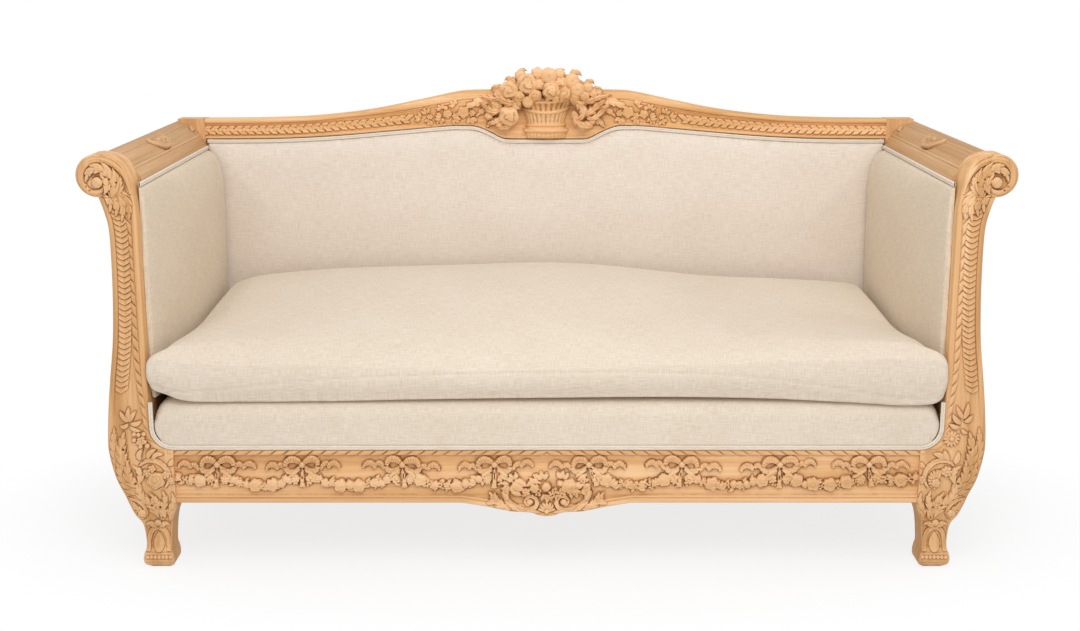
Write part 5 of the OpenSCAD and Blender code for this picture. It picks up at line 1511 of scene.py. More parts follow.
def garland(board, start, end, top_z, sag, seed, lift=2.0):
    """Leaves on alternate sides of top_z - sag sin(pi t), and flowers spaced by their reach."""
    chance = np.random.default_rng(seed)
    span = end - start
    count = int(abs(span) / LEAF_STEP)
    for n in range(count):
        t = (n + 0.5) / count
        x, z = start + span * t, top_z - sag * math.sin(math.pi * t)
        aim = math.radians((90 if n % 2 else -90) + chance.uniform(-60, 60))
        size = chance.uniform(11, 16)
        tip = (x + size * math.cos(aim), z + size * math.sin(aim))
        bend = (x + size * 0.5 * math.cos(aim + 0.4), z + size * 0.5 * math.sin(aim + 0.4))
        leaf(board, [(x, z), bend, tip], size * 0.52, 2.6, 0.6)
    run, last = 6.0, ""
    while run < abs(span) - 6:
        kind = last
        while kind == last:
            kind = KINDS[chance.integers(len(KINDS))]
        last = kind
        t = (run + KIND_REACH[kind] * 0.8) / abs(span)
        if t > 0.98:
            break
        small = 0.85 if t < END_STRETCH or t > 1 - END_STRETCH else 1.12
        place = (start + span * t, top_z - sag * math.sin(math.pi * t) + chance.uniform(-2.5, 2.5))
        flower(board, kind, place, chance.uniform(0, 6.28), lift + chance.uniform(-0.5, 0.6), small)
        run += KIND_REACH[kind] * FLOWER_STEP * small


# %% Middle of the front rail
MIDDLE_SPRIGS = (
    (-20, 178, 150), (-34, 156, 200), (24, 160, 330), (52, 160, 300), (-64, 182, 120), (66, 184, 40),
    (0, 152, 270), (-74, 170, 200), (70, 166, 340), (30, 186, 80), (-8, 184, 100),
)


def carve_middle(board):
    """Facing scrolls with round eyes, acanthus at their ends, a fluted shell between, fruit above."""
    for sign in (-1, 1):
        def at(*places):
            return [(sign * x, z) for x, z in places]
        leaf(board, at((66, 122), (84, 128), (98, 139), (112, 158)), 22, 3.6, 0.6, lobes=5, flutes=1)
        leaf(board, at((118, 134), (108, 137), (100, 146), (102, 158)), 14, 3.4, 0.8, lobes=3)
        band(board, at((86, 160), (80, 146), (68, 131), (50, 122), (31, 122), (20, 131), (21, 144), (31, 149),
                       (41, 144), (41, 134), (33, 131)), [7, 10, 12, 12, 11, 9, 7, 5, 4], 4.4, 1.2, "hollow")
        bud(board, (sign * 33, 138), 6.6, high=4.6, lift=1.8)
        band(board, at((79, 168), (80, 154), (76, 142)), [13, 12, 8], 3.6, 2.2)
        gouge(board, at((76, 164), (77, 148)), 0.8, 1.2)
        leaf(board, at((74, 136), (64, 126), (50, 118)), 11, 3.2, 1.2, lobes=2)
        leaf(board, at((10, 116), (30, 118), (48, 119)), 7, 2.4, 0.6)
    for n in range(7):
        a = math.radians(90 + 25 * (n - 3))
        tip = (17 * math.cos(a), 119 + 18 * math.sin(a))
        band(board, [(0, 117), tip], [2.5, 5.0, 6.0], 3.0, 1.6)
    bud(board, (0, 118), 5.0, high=3.4, lift=2.4)
    for x, z, degrees in MIDDLE_SPRIGS:
        sprig(board, (x, z), 17, degrees, 3, 40, 3.0, 0.8)
    tulip(board, (-56, 168), 13, 330, 4.6)
    leaf(board, [(-38, 170), (-26, 180), (-10, 176)], 11, 3.4, 1.4)
    berries(board, (14, 154), 12, 3.0, 3.1)
    berries(board, (-18, 158), 9, 2.7, 2.8, 1.0)
    rose(board, (44, 170), 15, 4.4, 2.0, 0.6)
    daisy(board, (56, 160), 9, 6, lift=2.6)
    bud(board, (-1, 168), 9.0, high=5.4, lift=2.0, slit=1.2)
    bud(board, (63, 172), 7.5, high=4.6, lift=2.2, slit=1.0)
    rose(board, (-24, 166), 9, 3.8, 2.4, 2.0)
    daisy(board, (-40, 158), 8.5, 5, lift=2.6, turn=0.7)
    bud(board, (26, 176), 6.0, high=4.0, lift=2.4)


# %% Front rail
TASSELS = ((-96, 34), (-92, 33), (-84, 34), (-92, 36), (-66, 34), (-98, 33), (-90, 35), (-80, 32))


def rail_ornament(board):
    """Garlands from bow to bow and out to both seams, then tassels and bows; n counts bows from the left."""
    for n, (start, end) in enumerate(zip(BOW_PLACES, BOW_PLACES[1:])):
        if start * end > 0:
            garland(board, start + 8, end - 8, 191, 20, seed=11 + 7 * n)
    garland(board, BOW_PLACES[0] - 8, -SEAM_X - 4, 190, 8, seed=6)
    garland(board, BOW_PLACES[-1] + 8, SEAM_X + 4, 190, 8, seed=5)
    carve_middle(board)
    for n, (x, (degrees, length)) in enumerate(zip(BOW_PLACES, TASSELS)):
        for sign in (-1, 1):
            sprig(board, (x + 10 * sign, 192), 17, 270 + 55 * sign, 3, 34, 2.8, 1.2)
        berries(board, (x + (12 if n % 2 else -12), 178), 6, 2.7, 3.0, n)
        daisy(board, (x + (-14 if n % 2 else 14), 181), 7.5, 6, lift=2.2, turn=n)
        tassel(board, (x, 207), degrees, length * 0.78)
        bow(board, (x, BOW_Z), lean=1.6 * math.sin(2.3 * n), turn=n)
        for sign in (1, -1):
            leaf(board, [(x + 4 * sign, 204), (x + 18 * sign, 196), (x + 26 * sign, 186)], 7, 2.6, 1.6)


def front_rail():
    """Rings at steps along the rail, each the carved face, the top, the back and the bottom."""
    x = np.linspace(-SEAM_X, SEAM_X, 955)[:, None]
    low = apron_z(x)
    z = low + (RAIL_TOP - low) * spread(0, 1, 93, 0.25)
    board = Board(x, z)
    rail_ground(board)
    rail_ornament(board)
    hollow, h = board.hollow()
    near = np.minimum(z - low, RAIL_TOP - z)
    y = FACE_Y - h * ease(near, 0.2, 3.0) + rounding(near, RAIL_ROUND)
    quarters = np.array([0.25, 0.5, 0.75])
    y_top = y[:, -1:] + (rail_high[1] - y[:, -1:]) * quarters
    y_under = y[:, :1] + (rail_high[1] - y[:, :1]) * quarters[::-1]
    y = np.hstack([y, y_top, np.full_like(y_top, rail_high[1]), y_under])
    z = np.hstack([z, np.full_like(y_top, RAIL_TOP), RAIL_TOP + (low - RAIL_TOP) * np.array([0, 0.5, 1]),
                   np.broadcast_to(low, y_under.shape)])
    return carved_piece("carved_seat_rail", points_at(x, y, z), hollow, lime_across, "front_seat_rail")


front_rail()

# %% [markdown]
# The top rail rises to the middle. Its upper edge is a broad round moulding with a groove under it, its
# lower edge a narrow bead, and the field between is filled by a braid of leaves out to the corners and by
# branches next to the crest.

# %% Ground of the top rail
BRAID_FROM = 302.0
BRAID_PITCH = 17.6
LOWER_BEAD = 7.0
TOP_HOLLOW = 0.4  # the top rail gets weaker painted shade and dirt in its hollows, and weaker painted highlight and wear on its ridges
TOP_FIELD_SUNK = 2.2
TOP_ROUND = 8.0  # round of the upper edge at the back
CROWN_ROUND, LOWER_ROUND = 6.0, 1.5  # rounds of the face's upper and lower edges


def moulding_height(x):
    """The upper moulding is 13 mm tall at the corners and 24 mm beside the crest."""
    return 13 + 11 * (1 - ease(np.abs(x), 190, 470))


def top_ground(board):
    """Round moulding, groove and fillet above, a bead below, a sunk field between."""
    x, z = board.x, board.z
    down = camel_z(x) - z
    up = z - shoulder_z(x)
    tall = moulding_height(x)
    field = ease(up, LOWER_BEAD - 0.5, LOWER_BEAD + 1.2) * ease(down, tall - 1.0, tall + 0.8)
    board.h = -TOP_FIELD_SUNK * field
    board.h += np.where(down < 0.78 * tall, 0.6 + 3.0 * domed((down - 0.39 * tall) / (0.41 * tall)), 0)
    board.h -= 1.8 * bell(down - 0.82 * tall, 1.1)
    board.h += np.where(up < LOWER_BEAD, 1.1 * domed((up - LOWER_BEAD / 2) / (LOWER_BEAD / 2)), 0)
    board.h -= 1.0 * bell(up - LOWER_BEAD, 0.7)


def braid(board, sign):
    """Two rows of leaves, half a pitch apart, that lean to both sides of the field's middle line."""
    steps = int((REAR_IN - 5 - BRAID_FROM) / BRAID_PITCH)
    for n in range(steps, -1, -1):
        for row, shift in ((-1, 0.5), (1, 0.0)):
            x = BRAID_FROM + (n + shift) * BRAID_PITCH
            places = np.array([x + 17, x + 9, x, x - 4])
            low, high = shoulder_z(places) + LOWER_BEAD, camel_z(places) - moulding_height(places)
            middle, half = (low + high) / 2, np.minimum((high - low) / 2, 11.5)
            z = middle + row * half * np.array([-0.35, 0.3, 0.62, 0.9])
            leaf(board, list(zip(sign * places, z)), 10.5, 3.4, 0.2, rib=0.5)
            bud(board, (sign * (x + 12.5), middle[1] + row * half[1] * 0.62), 1.5, high=-1.6, lift=-1.2)


WING_SPRIGS = (
    # place across, share of the field's height, size, degrees
    (283, 0.45, 15, 20), (270, 0.7, 14, 70), (262, 0.25, 14, 300), (240, 0.25, 14, 250), (236, 0.8, 14, 60),
    (205, 0.9, 15, 40), (206, 0.2, 15, 230), (170, 0.2, 17, 250),
)
WING_FLOWERS = (
    # kind, place across, share of the field's height, size, turn
    ("daisy", 262, 0.45, 7, 0), ("tulip", 243, 0.4, 7, 20), ("rose", 222, 0.5, 10, 1),
    ("bud", 226, 0.82, 5.5, 0), ("daisy", 204, 0.35, 8, 1), ("rose", 186, 0.5, 13, 2),
    ("bud", 172, 0.82, 7, 0), ("daisy", 166, 0.45, 8, 2),
)
WING_LEAVES = (
    ([(92, 0.72), (120, 1.0), (150, 0.98), (184, 0.66)], 27, 4.2, 6),
    ([(88, 0.5), (112, 0.72), (138, 0.66), (158, 0.3)], 25, 4.6, 5),
    ([(84, 0.3), (104, 0.4), (122, 0.28), (134, -0.02)], 22, 4.2, 5),
)


def field_z(x, share):
    """A height in the field between the lower bead and the moulding, by its share."""
    low, high = shoulder_z(x) + LOWER_BEAD, camel_z(x) - moulding_height(x)
    return float(low + share * (high - low))


def wing(board, sign):
    """Branches beside the crest: leaves first, then roses, buds and daisies, and three acanthus swirls."""
    for x, share, size, degrees in WING_SPRIGS:
        aim = degrees if sign > 0 else 180 - degrees
        sprig(board, (sign * x, field_z(x, share)), size, aim, 3, 42, 3.0, 0.2)
    for kind, x, share, size, turn in WING_FLOWERS:
        place = (sign * x, field_z(x, share))
        if kind == "rose":
            rose(board, place, size, 4.2, 1.4, turn)
        elif kind == "daisy":
            daisy(board, place, size, 6, lift=1.0, turn=turn)
        elif kind == "tulip":
            tulip(board, place, size, turn if sign > 0 else 180 - turn)
        else:
            bud(board, place, size, high=4.6, lift=1.0, slit=0.9)
    for path, width, high, lobes in WING_LEAVES:
        leaf(board, [(sign * x, field_z(x, share)) for x, share in path], width, high, 1.6, lobes, flutes=1)


def top_tongue(board):
    """The tongue that hangs in the middle: a panel with a raised edge on either side of the plinth."""
    x, z = np.abs(board.x), board.z
    inside = np.minimum(np.minimum(x - 52, 92 - x - 0.55 * np.maximum(0, z - UNDER_Z - 14)), z - UNDER_Z - 8)
    inside = np.minimum(inside, UNDER_Z + 34 - z)
    board.h -= 1.6 * ease(inside, 0, 1.6) + 0.9 * bell(inside + 1.6, 0.8)


# %% Top rail
def carved_top_rail():
    """Rings at steps along the rail: carved face, rounded top, back and underside."""
    outer = np.linspace(BRAID_FROM, REAR_IN, 330)
    x = np.concatenate([-outer[::-1], np.linspace(-BRAID_FROM, BRAID_FROM, 440)[1:-1], outer])[:, None]
    low, high = shoulder_z(x), camel_z(x)
    z = low + (high - low) * spread(0, 1, 58, 0.2)
    board = Board(x, z)
    top_ground(board)
    for sign in (-1, 1):
        braid(board, sign)
        wing(board, sign)
    top_tongue(board)
    hollow, h = board.hollow()
    near_top, near_low = high - z, z - low
    y = TOP_RAIL_Y - h * ease(np.minimum(near_top, near_low), 0.2, 2.0)
    y = y + rounding(near_top, CROWN_ROUND) + rounding(near_low, LOWER_ROUND)
    thick = TOP_BACK_Y - TOP_RAIL_Y
    over = np.linspace(0, np.pi / 2, 6)[1:]
    z = np.hstack([z, high, high - TOP_ROUND * (1 - np.cos(over)), (high + low) / 2, low, low])
    y_behind = np.concatenate([[TOP_RAIL_Y + 0.45 * thick], TOP_BACK_Y - TOP_ROUND * (1 - np.sin(over)),
                               [TOP_BACK_Y, TOP_BACK_Y, TOP_RAIL_Y + 0.5 * thick]])
    y = np.hstack([y, np.broadcast_to(y_behind, (len(x), len(y_behind)))])
    return carved_piece("carved_top_rail", points_at(x, y, z), TOP_HOLLOW * hollow, lime_lit_top_rail, "top_rail")


carved_top_rail()

# %% [markdown]
# The crest is carved in the round: a fluted basket on a plinth, heaped with roses and fruit, with
# acanthus at its sides. A blossom is a ball whose distance from its middle follows the same spiral of
# petals as the flat rose; a leaf is a thin lobed shell along a path through space.


# %% Blossoms, fruit and leaves in the round
def ball(place, radius, kind="rose", turn=0.0, flat=0.8, rows=26, cols=40):
    """Distance from the middle over the angle p from the front pole and the angle a round it."""
    p = np.linspace(0, np.pi, rows + 2)[1:-1, None]
    a = np.linspace(0, 2 * np.pi, cols, endpoint=False)[None, :]
    q = p / (0.62 * np.pi)
    if kind == "rose":
        petal = (2.9 * q ** 0.75 - (a + turn) / (2 * np.pi) + 0.14 * np.sin(3 * a + turn)) % 1
        cut = 0.22 * (1 - petal) ** 1.4 * np.minimum(1, 5 * q) * (q < 1)
        cut = cut - 0.05 * np.cos(5 * a + turn) * np.sin(p) ** 4
    elif kind == "peach":
        cleft = bell(np.sin(a - turn) * np.sin(p), 0.12) * (np.cos(a - turn) > 0)
        cut = 0.13 * cleft * np.sin(p) + 0.16 * bell(p, 0.3)
    else:
        cut = 0.07 * np.cos(6 * a + turn) * np.sin(p) + 0.1 * bell(p, 0.25)
    r = radius * (1 - cut)
    x, y, z = r * np.sin(p) * np.cos(a), -r * np.cos(p) * flat, r * np.sin(p) * np.sin(a)
    # Petal cuts and clefts get painted shade, and the rest of the ball a little painted highlight.
    sunk = 0.9 * radius * (np.broadcast_to(cut, r.shape) - 0.08)
    return tube_shell(points_at(x, y, z) + np.array(place)), np.append(sunk.ravel(), [0, 0])


def leaf_shell(path, width, thick=3.0, lobes=5, cup=0.3, notch=0.42, rows=56, cols=24):
    """Rings round a path: half width w/2 sin(pi t^0.8)^0.8 cut by lobes, an oval bent back at its edges."""
    way = smooth_curve(path, 12)
    way = even_path(way, np.linalg.norm(np.diff(way, axis=0), axis=1).sum() / (rows + 1))[:rows]
    along = unit(np.gradient(way, axis=0))
    front = unit(np.array(FORWARD) - along * (along @ np.array(FORWARD))[:, None])
    side = np.cross(along, front)
    t = np.linspace(0.02, 0.99, len(way))[:, None]
    a = np.linspace(0, 2 * np.pi, cols, endpoint=False)[None, :]
    edge = np.abs(np.cos(a))
    part = (t - 0.2 * edge) * lobes % 1
    half = 0.5 * width * np.sin(np.pi * t ** 0.8) ** 0.8 * (1 - notch * (1 - part) ** 1.5 * edge)
    rise = thick * np.sin(a) * (0.5 + 0.5 * np.sin(np.pi * t)) - cup * width * edge ** 2 * np.sin(np.pi * t)
    vein = 0.45 * thick * (1 - part) ** 3 * ease(edge, 0.15, 0.5) + 0.5 * thick * bell(edge, 0.12)
    rise = rise - vein * (np.sin(a) > 0)
    across = half * np.cos(a)
    points = way[:, None] + side[:, None] * across[..., None] + front[:, None] * rise[..., None]
    sunk = (vein - 0.25 * thick) * (np.sin(a) > 0)
    return tube_shell(points), np.append((sunk * 0.9).ravel(), [0, 0])


def carved_group(name, parts):
    """One piece from several shells, each with how deep its places lie."""
    shells = [shell for shell, _ in parts]
    # How deep each place lies gives painted shade in the hollows and a painted highlight on the rest, through
    # the limewood finish.
    hollow = np.concatenate([sunk for _, sunk in parts])
    piece = make_piece(name, joined(shells), hollow, crease=70)
    return finish_piece(piece, lime_across, "frame", "limewood", "crest_carving")


# %% [markdown]
# The basket is a stack of ovals. Its body flares and has wide flutes, its rim waves like wicker bent over,
# a round moulding carries it, and the plinth below has narrow flutes.

# %% Basket of the crest
BASKET_LEVELS = (
    # height over the rail's underside, half width, depth, flute depth share, wave
    (3, 44, 17, 0.0, 0), (5, 45, 18, 0.04, 0), (14, 45, 18, 0.07, 0), (16, 46, 19, 0.0, 0),
    (18, 50, 22, 0.0, 0), (22, 51, 23, 0.0, 0), (24, 50, 22, 0.0, 0), (26, 43, 17, 0.0, 0),
    (29, 43, 17, 0.0, 0), (31, 45, 19, 0.0, 0), (33, 46, 20, 0.0, 0), (35, 45, 19, 0.0, 0),
    (37, 42, 16, 0.08, 0), (46, 44, 19, 0.13, 0.2), (56, 48, 22, 0.13, 0.6), (62, 51, 25, 0.1, 1),
    (64, 53, 27, 0.0, 1), (67, 54, 28, 0.0, 1), (69, 53, 27, 0.0, 1), (71, 52, 26, 0.14, 1),
    (79, 56, 31, 0.17, 1), (86, 60, 35, 0.1, 1), (88, 61, 36, 0.0, 1), (91, 60, 35, 0.0, 1),
    (93, 46, 22, 0.0, 1),
)
FLUTES = 26
RIM_WAVE = 9.0
CREST_BACK_Y = TOP_RAIL_Y + 18


def basket():
    """Half ovals in front of the rail, closed straight behind; the rim's height waves with |x|."""
    table = smooth_curve(BASKET_LEVELS, 3)
    a = np.linspace(-np.pi / 2, np.pi / 2, 181)[None, :]
    up, half, deep, flute, wave = (table[:, i][:, None] for i in range(5))
    ripple = np.abs(np.sin(FLUTES * a / 2)) ** 0.6
    size = 1 - flute * (1 - ripple)
    x = half * np.sin(a) * size
    y = TOP_RAIL_Y - deep * np.cos(a) ** 0.8 * size
    z = UNDER_Z + up - RIM_WAVE * wave * np.cos(2 * a) * 0.5
    back_x = np.linspace(1, -1, 14)[1:-1] * half
    back = points_at(back_x, CREST_BACK_Y, UNDER_Z + up + RIM_WAVE * wave * 0.5)
    rings = np.hstack([points_at(x, y, z), back])
    sunk = flute * (1 - ripple) * half * 0.7 - 0.3
    sunk = np.hstack([sunk, np.zeros(back_x.shape)])
    return tube_shell(rings), np.append(sunk.ravel(), [0, 0])


carved_group("crest_basket", [basket()])

# %% [markdown]
# Each blossom of the heap has its place listed, as across, forward of the rail's face, and up from the
# rail's underside, with its radius and kind. Leaves fill the gaps and break the outline.

# %% Heap of roses and fruit
HEAP = (
    (7, 14, 143, 19, "peach", 1.3), (-19, 12, 148, 14, "apple", 0.4), (31, 10, 148, 12, "apple", 2.2),
    (59, 13, 131, 18, "peach", 0.5), (70, 18, 112, 17, "peach", 2.0), (94, 12, 116, 12, "apple", 0.2),
    (-41, 16, 124, 25, "rose", 0.3), (-82, 15, 111, 23, "rose", 5.0), (-57, 8, 143, 13, "peach", 2.4),
    (12, 24, 110, 21, "rose", 1.4), (-16, 16, 124, 13, "apple", 2.6), (42, 19, 104, 17, "rose", 4.0),
    (34, 13, 126, 15, "rose", 0.9), (-60, 22, 97, 14, "rose", 0.0), (-24, 27, 99, 15, "rose", 3.1),
    (-40, 30, 86, 13, "peach", 0.9), (84, 15, 98, 15, "rose", 3.5), (106, 9, 105, 11, "rose", 1.0),
    (-104, 10, 104, 13, "rose", 1.8), (-112, 7, 112, 8, "apple", 0.5), (119, 6, 107, 8, "apple", 0.8),
    (-83, 20, 54, 24, "rose", 1.2), (-110, 14, 76, 14, "rose", 0.2), (-66, 22, 78, 11, "apple", 1.0),
    (-128, 8, 54, 10, "rose", 2.9), (64, 24, 92, 11, "rose", 2.2), (92, 13, 34, 9, "apple", 1.5),
    (104, 11, 42, 8, "apple", 0.3), (-104, 12, 34, 9, "apple", 0.9), (22, 28, 92, 9, "apple", 0.1),
)
HEAP_LEAVES = (
    ([(-46, 8, 130), (-60, 11, 146), (-50, 8, 155), (-40, 5, 153)], 19),
    ([(-64, 8, 122), (-82, 11, 136), (-94, 7, 132)], 18),
    ([(-88, 8, 106), (-110, 11, 118), (-126, 6, 110)], 17),
    ([(50, 8, 134), (66, 11, 151), (82, 8, 142)], 17), ([(82, 8, 118), (100, 11, 131), (110, 7, 122)], 15),
    ([(98, 8, 104), (116, 9, 114), (130, 6, 107)], 15), ([(26, 8, 134), (36, 11, 154), (44, 7, 156)], 13),
    ([(0, 18, 120), (22, 27, 128), (40, 22, 120)], 17),
    ([(-26, 22, 106), (-30, 31, 94), (-20, 33, 84)], 16), ([(30, 24, 104), (36, 33, 92), (28, 34, 82)], 15),
    ([(-54, 22, 98), (-62, 31, 86), (-54, 32, 75)], 17), ([(56, 22, 98), (66, 30, 87), (70, 30, 76)], 16),
    ([(2, 26, 100), (4, 33, 90), (-4, 33, 80)], 14), ([(76, 14, 96), (92, 21, 88), (106, 15, 88)], 16),
)
# path, width and lobes of the acanthus: on the left a frill round the rose, on the right a scroll and flames
SIDE_LEAVES = (
    ([(-62, 22, 84), (-84, 29, 84), (-106, 24, 92), (-126, 12, 88)], 22, 4),
    ([(-96, 20, 70), (-116, 22, 64), (-132, 14, 70), (-150, 7, 84)], 20, 4),
    ([(-100, 18, 50), (-114, 18, 40), (-130, 10, 36)], 17, 3),
    ([(-74, 22, 36), (-92, 20, 28), (-112, 10, 27)], 15, 3),
    ([(-88, 14, 92), (-116, 15, 90), (-148, 7, 96)], 16, 4),
    ([(58, 24, 86), (72, 30, 82), (84, 30, 68), (80, 30, 52), (66, 28, 46)], 25, 4),
    ([(62, 22, 66), (70, 27, 44), (84, 24, 32), (100, 16, 31), (110, 10, 38)], 23, 4),
    ([(84, 24, 58), (98, 23, 62), (116, 16, 76), (138, 8, 92)], 22, 4),
    ([(92, 20, 48), (110, 18, 50), (128, 12, 64), (146, 6, 76)], 17, 4),
    ([(80, 20, 84), (98, 21, 86), (120, 13, 94), (150, 6, 100)], 17, 4),
)


def in_space(x, forward, up):
    """A place of the crest from across, forward of the rail's face and up from its underside."""
    return (x, TOP_RAIL_Y - forward, UNDER_Z + up)


MOUND_HALF, MOUND_FOOT, MOUND_RISE = 112.0, 84.0, 66.0


def mound():
    """Backing of the heap: levels whose half width shrinks as a half oval, each a flat oval in plan."""
    t = np.linspace(0, 0.995, 26)[:, None]
    a = np.linspace(0, 2 * np.pi, 60, endpoint=False)[None, :]
    half = MOUND_HALF * np.sqrt(1 - t ** 2.2) * (1 + 0.03 * np.sin(9 * a + 7 * t))
    y = TOP_RAIL_Y + 6 - 13 * np.sin(a) * np.sqrt(1 - t ** 3)
    shell = tube_shell(points_at(half * np.cos(a), y, UNDER_Z + MOUND_FOOT + MOUND_RISE * t))
    # The backing's front is set 2.8 deep, so it is painted dark, as shade between the blossoms.
    return shell, np.where(shell[0][:, 1] < TOP_RAIL_Y, 2.8, 0.0)


carved_group("crest_backing", [mound()])
carved_group("crest_fruit_and_roses", [ball(in_space(x, forward, up), radius, kind, turn)
                                       for x, forward, up, radius, kind, turn in HEAP])
carved_group("crest_leaves", [leaf_shell([in_space(*p) for p in path], width, 4.0, 3)
                              for path, width in HEAP_LEAVES])
carved_group("crest_acanthus", [leaf_shell([in_space(*p) for p in path], width, 5.5, lobes)
                                for path, width, lobes in SIDE_LEAVES])

# %% [markdown]
# An arm's top rail slopes up from the pad and rolls over outwards. Its face is a board in y and s, the run
# round the section: a plain band beside the pad, a groove, then a sunk panel with a leafy half oval in the
# middle of its length and a leaf at its rear end. The relief is laid off square to the section.

# %% Arm top rails
ARM_SECTION = smooth_curve([
    (0.6, 742.2), (0.8, 757), (5, 767), (12, 777.4), (28.6, 796), (48, 806.6), (62, 809.6), (69, 810),
], 10)
ROLL_R = 34.0
ROLL_U, ROLL_Z = 69.0, 776.0
PANEL_FROM, PANEL_TO = 47.0, 84.0  # run round the section
PANEL_SUNK = 2.4
OVAL_LONG, OVAL_WIDE = 56.0, 34.0
OVAL_LEAVES = (
    ([(-44, -6), (-20, -22), (14, -24), (40, -9)], 18), ([(-36, -2), (-12, -9), (14, -10), (38, -3)], 13),
    ([(-8, -4), (0, -15), (18, -27)], 11), ([(-18, -4), (-18, -16), (-8, -29)], 11),
)
OVER_POST = 66.0  # up to here the rear end stays inside the rear post


def arm_section():
    """Points round the section, 1.4 mm apart over the slope and wider round the roll and below."""
    roll = np.linspace(np.pi / 2, -np.pi / 2, 42)[1:]
    rolled_over = np.stack([ROLL_U + ROLL_R * np.cos(roll), ROLL_Z + ROLL_R * np.sin(roll)], 1)
    under = np.stack([np.linspace(ROLL_U, 0.6, 10)[1:-1], np.full(8, 742.0)], 1)
    return np.vstack([even_path(ARM_SECTION, 1.4), rolled_over, under])


def carve_arm(board, start, end):
    """Groove and sunk panel over the run s, eased at both ends; oval and leaves at listed places."""
    y, s = board.x, board.z
    panel = ease(s, PANEL_FROM, PANEL_FROM + 1.8) * (1 - ease(s, PANEL_TO, PANEL_TO + 3))
    panel = panel * ease(y, start + 10, start + 16) * (1 - ease(y, end - 66, end - 58))
    board.h -= PANEL_SUNK * panel
    board.h -= 1.5 * bell(s - PANEL_FROM + 4.5, 0.9)
    board.h -= 0.9 * bell(s - 22, 0.8)
    middle = start + 0.47 * (end - start)
    k = np.flatnonzero((np.abs(y - middle) < OVAL_LONG * 1.3) & (s < PANEL_TO + 6) & (s > 20))
    q = np.hypot((y[k] - middle) / OVAL_LONG, (s[k] - PANEL_TO) / OVAL_WIDE)
    rim = 1.4 + 2.2 * bell(q - 0.9, 0.07)
    board.lay(k, (q - 1) * OVAL_WIDE, rim + 1.2 * domed(q), groove=2.0)
    for path, width in OVAL_LEAVES:
        leaf(board, [(middle + a, PANEL_TO + b) for a, b in path], width, 4.6, 1.8, lobes=5, flutes=1)
    rose(board, (middle + 2, PANEL_TO - 12), 11, 5.0, 3.0, 0.4)
    bud(board, (middle - 20, PANEL_TO - 9), 6.5, high=5.0, lift=3.0)
    bud(board, (middle + 24, PANEL_TO - 9), 6.0, high=4.6, lift=3.0, slit=1.0)
    rear = end - 52
    leaf(board, [(rear - 22, 62), (rear, 68), (rear + 22, 66), (rear + 42, 56)], 20, 3.2, 0.2, lobes=4)
    leaf(board, [(rear - 4, 58), (rear + 16, 54), (rear + 34, 46)], 13, 2.8, 0.2, lobes=3)


def arm_rail(side, hand):
    """Rings of the section from front to back, each place moved out along the section's normal."""
    low, high = node_box(f"arm_top_rail_{hand}")
    section = arm_section()
    run = np.concatenate([[0], np.cumsum(np.linalg.norm(np.diff(section, axis=0), axis=1))])
    way = unit(np.gradient(section, axis=0))
    y = np.linspace(low[1], high[1], 380)[:, None]
    board = Board(y, run)
    carve_arm(board, low[1], high[1])
    hollow, h = board.hollow()
    h = h * ease(run, 2, 8) * (1 - ease(run, 150, 160)) * ease(y, low[1] + 1, low[1] + 6)
    u = section[:, 0] - way[:, 1] * h
    z = section[:, 1] + way[:, 0] * h
    y = np.where(section[:, 0] < OVER_POST, np.minimum(y, high[1] - 6), y)
    rings = points_at(side * (HALF_IN + u), y, z)
    return carved_piece(f"carved_arm_rail_{hand}", rings, hollow, lime_shaded_depth, f"arm_top_rail_{hand}")


for side, hand in SIDES:
    arm_rail(side, hand)

# %% [markdown]
# Linen also closes the outside of the back and of both arms. Each panel is a thin pad: flat behind, drawn
# over a layer of wadding in front, so that its face swells a little between its edges, where double piping
# covers the tacks. The arm's panel follows the curve of the front post's outer edge.

# %% Outside panels
WADDING = 3.5
ARM_BOW = smooth_curve([(0, 0.05), (0.2, 0.2), (0.42, 0.2), (0.66, 0.05), (0.85, 0), (1, 0.1)], 8)
outside_low = node_box("outside_back_panel")[0]
flank_low, flank_high = node_box("outside_arm_panel_right")
PANEL_T, PANEL_ROOM = 4.0, 0.6
BACK_PANEL_Y = outside_low[1] - SEAT_BACK_Y + PANEL_T  # its outer face, behind the leaning plane
ARM_BOW_OUT = (flank_high[0] - PANEL_T - flank_low[0]) / np.ptp(ARM_BOW[:, 1])


def flank_x(z):
    """Face of the arm's outside panel over the height, from the shares of its bow."""
    height_share = (z - flank_low[2]) / (flank_high[2] - flank_low[2])
    return flank_low[0] + PANEL_T + ARM_BOW_OUT * read_off(ARM_BOW, height_share)


def outside_panel(name, places, edge, out):
    """Rings over a grid of places, front to the tacked edge and plain behind; edge is the distance in."""
    out = np.array(out)
    crown = WADDING * rolled(edge, 34) - 1.2 * (1 - rolled(edge, 4))
    front, back = places + crown[..., None] * out, places - (PANEL_T - PAD_GAP) * out
    return make_piece(name, tube_shell(np.concatenate([front, back[:, ::-1]], 1)), crease=180)


def piping_round(name, loop, out, node):
    """Double piping along a loop that starts and ends in the middle of its foot, its cords inside."""
    loop = even_path(loop, 5.0)
    middle = loop.mean(0)

    def inward(path):
        across = np.cross(np.gradient(path, axis=0), out)
        return unit(across * np.sign(np.einsum("ij,ij->i", across, middle - path))[:, None])

    double_piping(name, loop, out, inward, node)


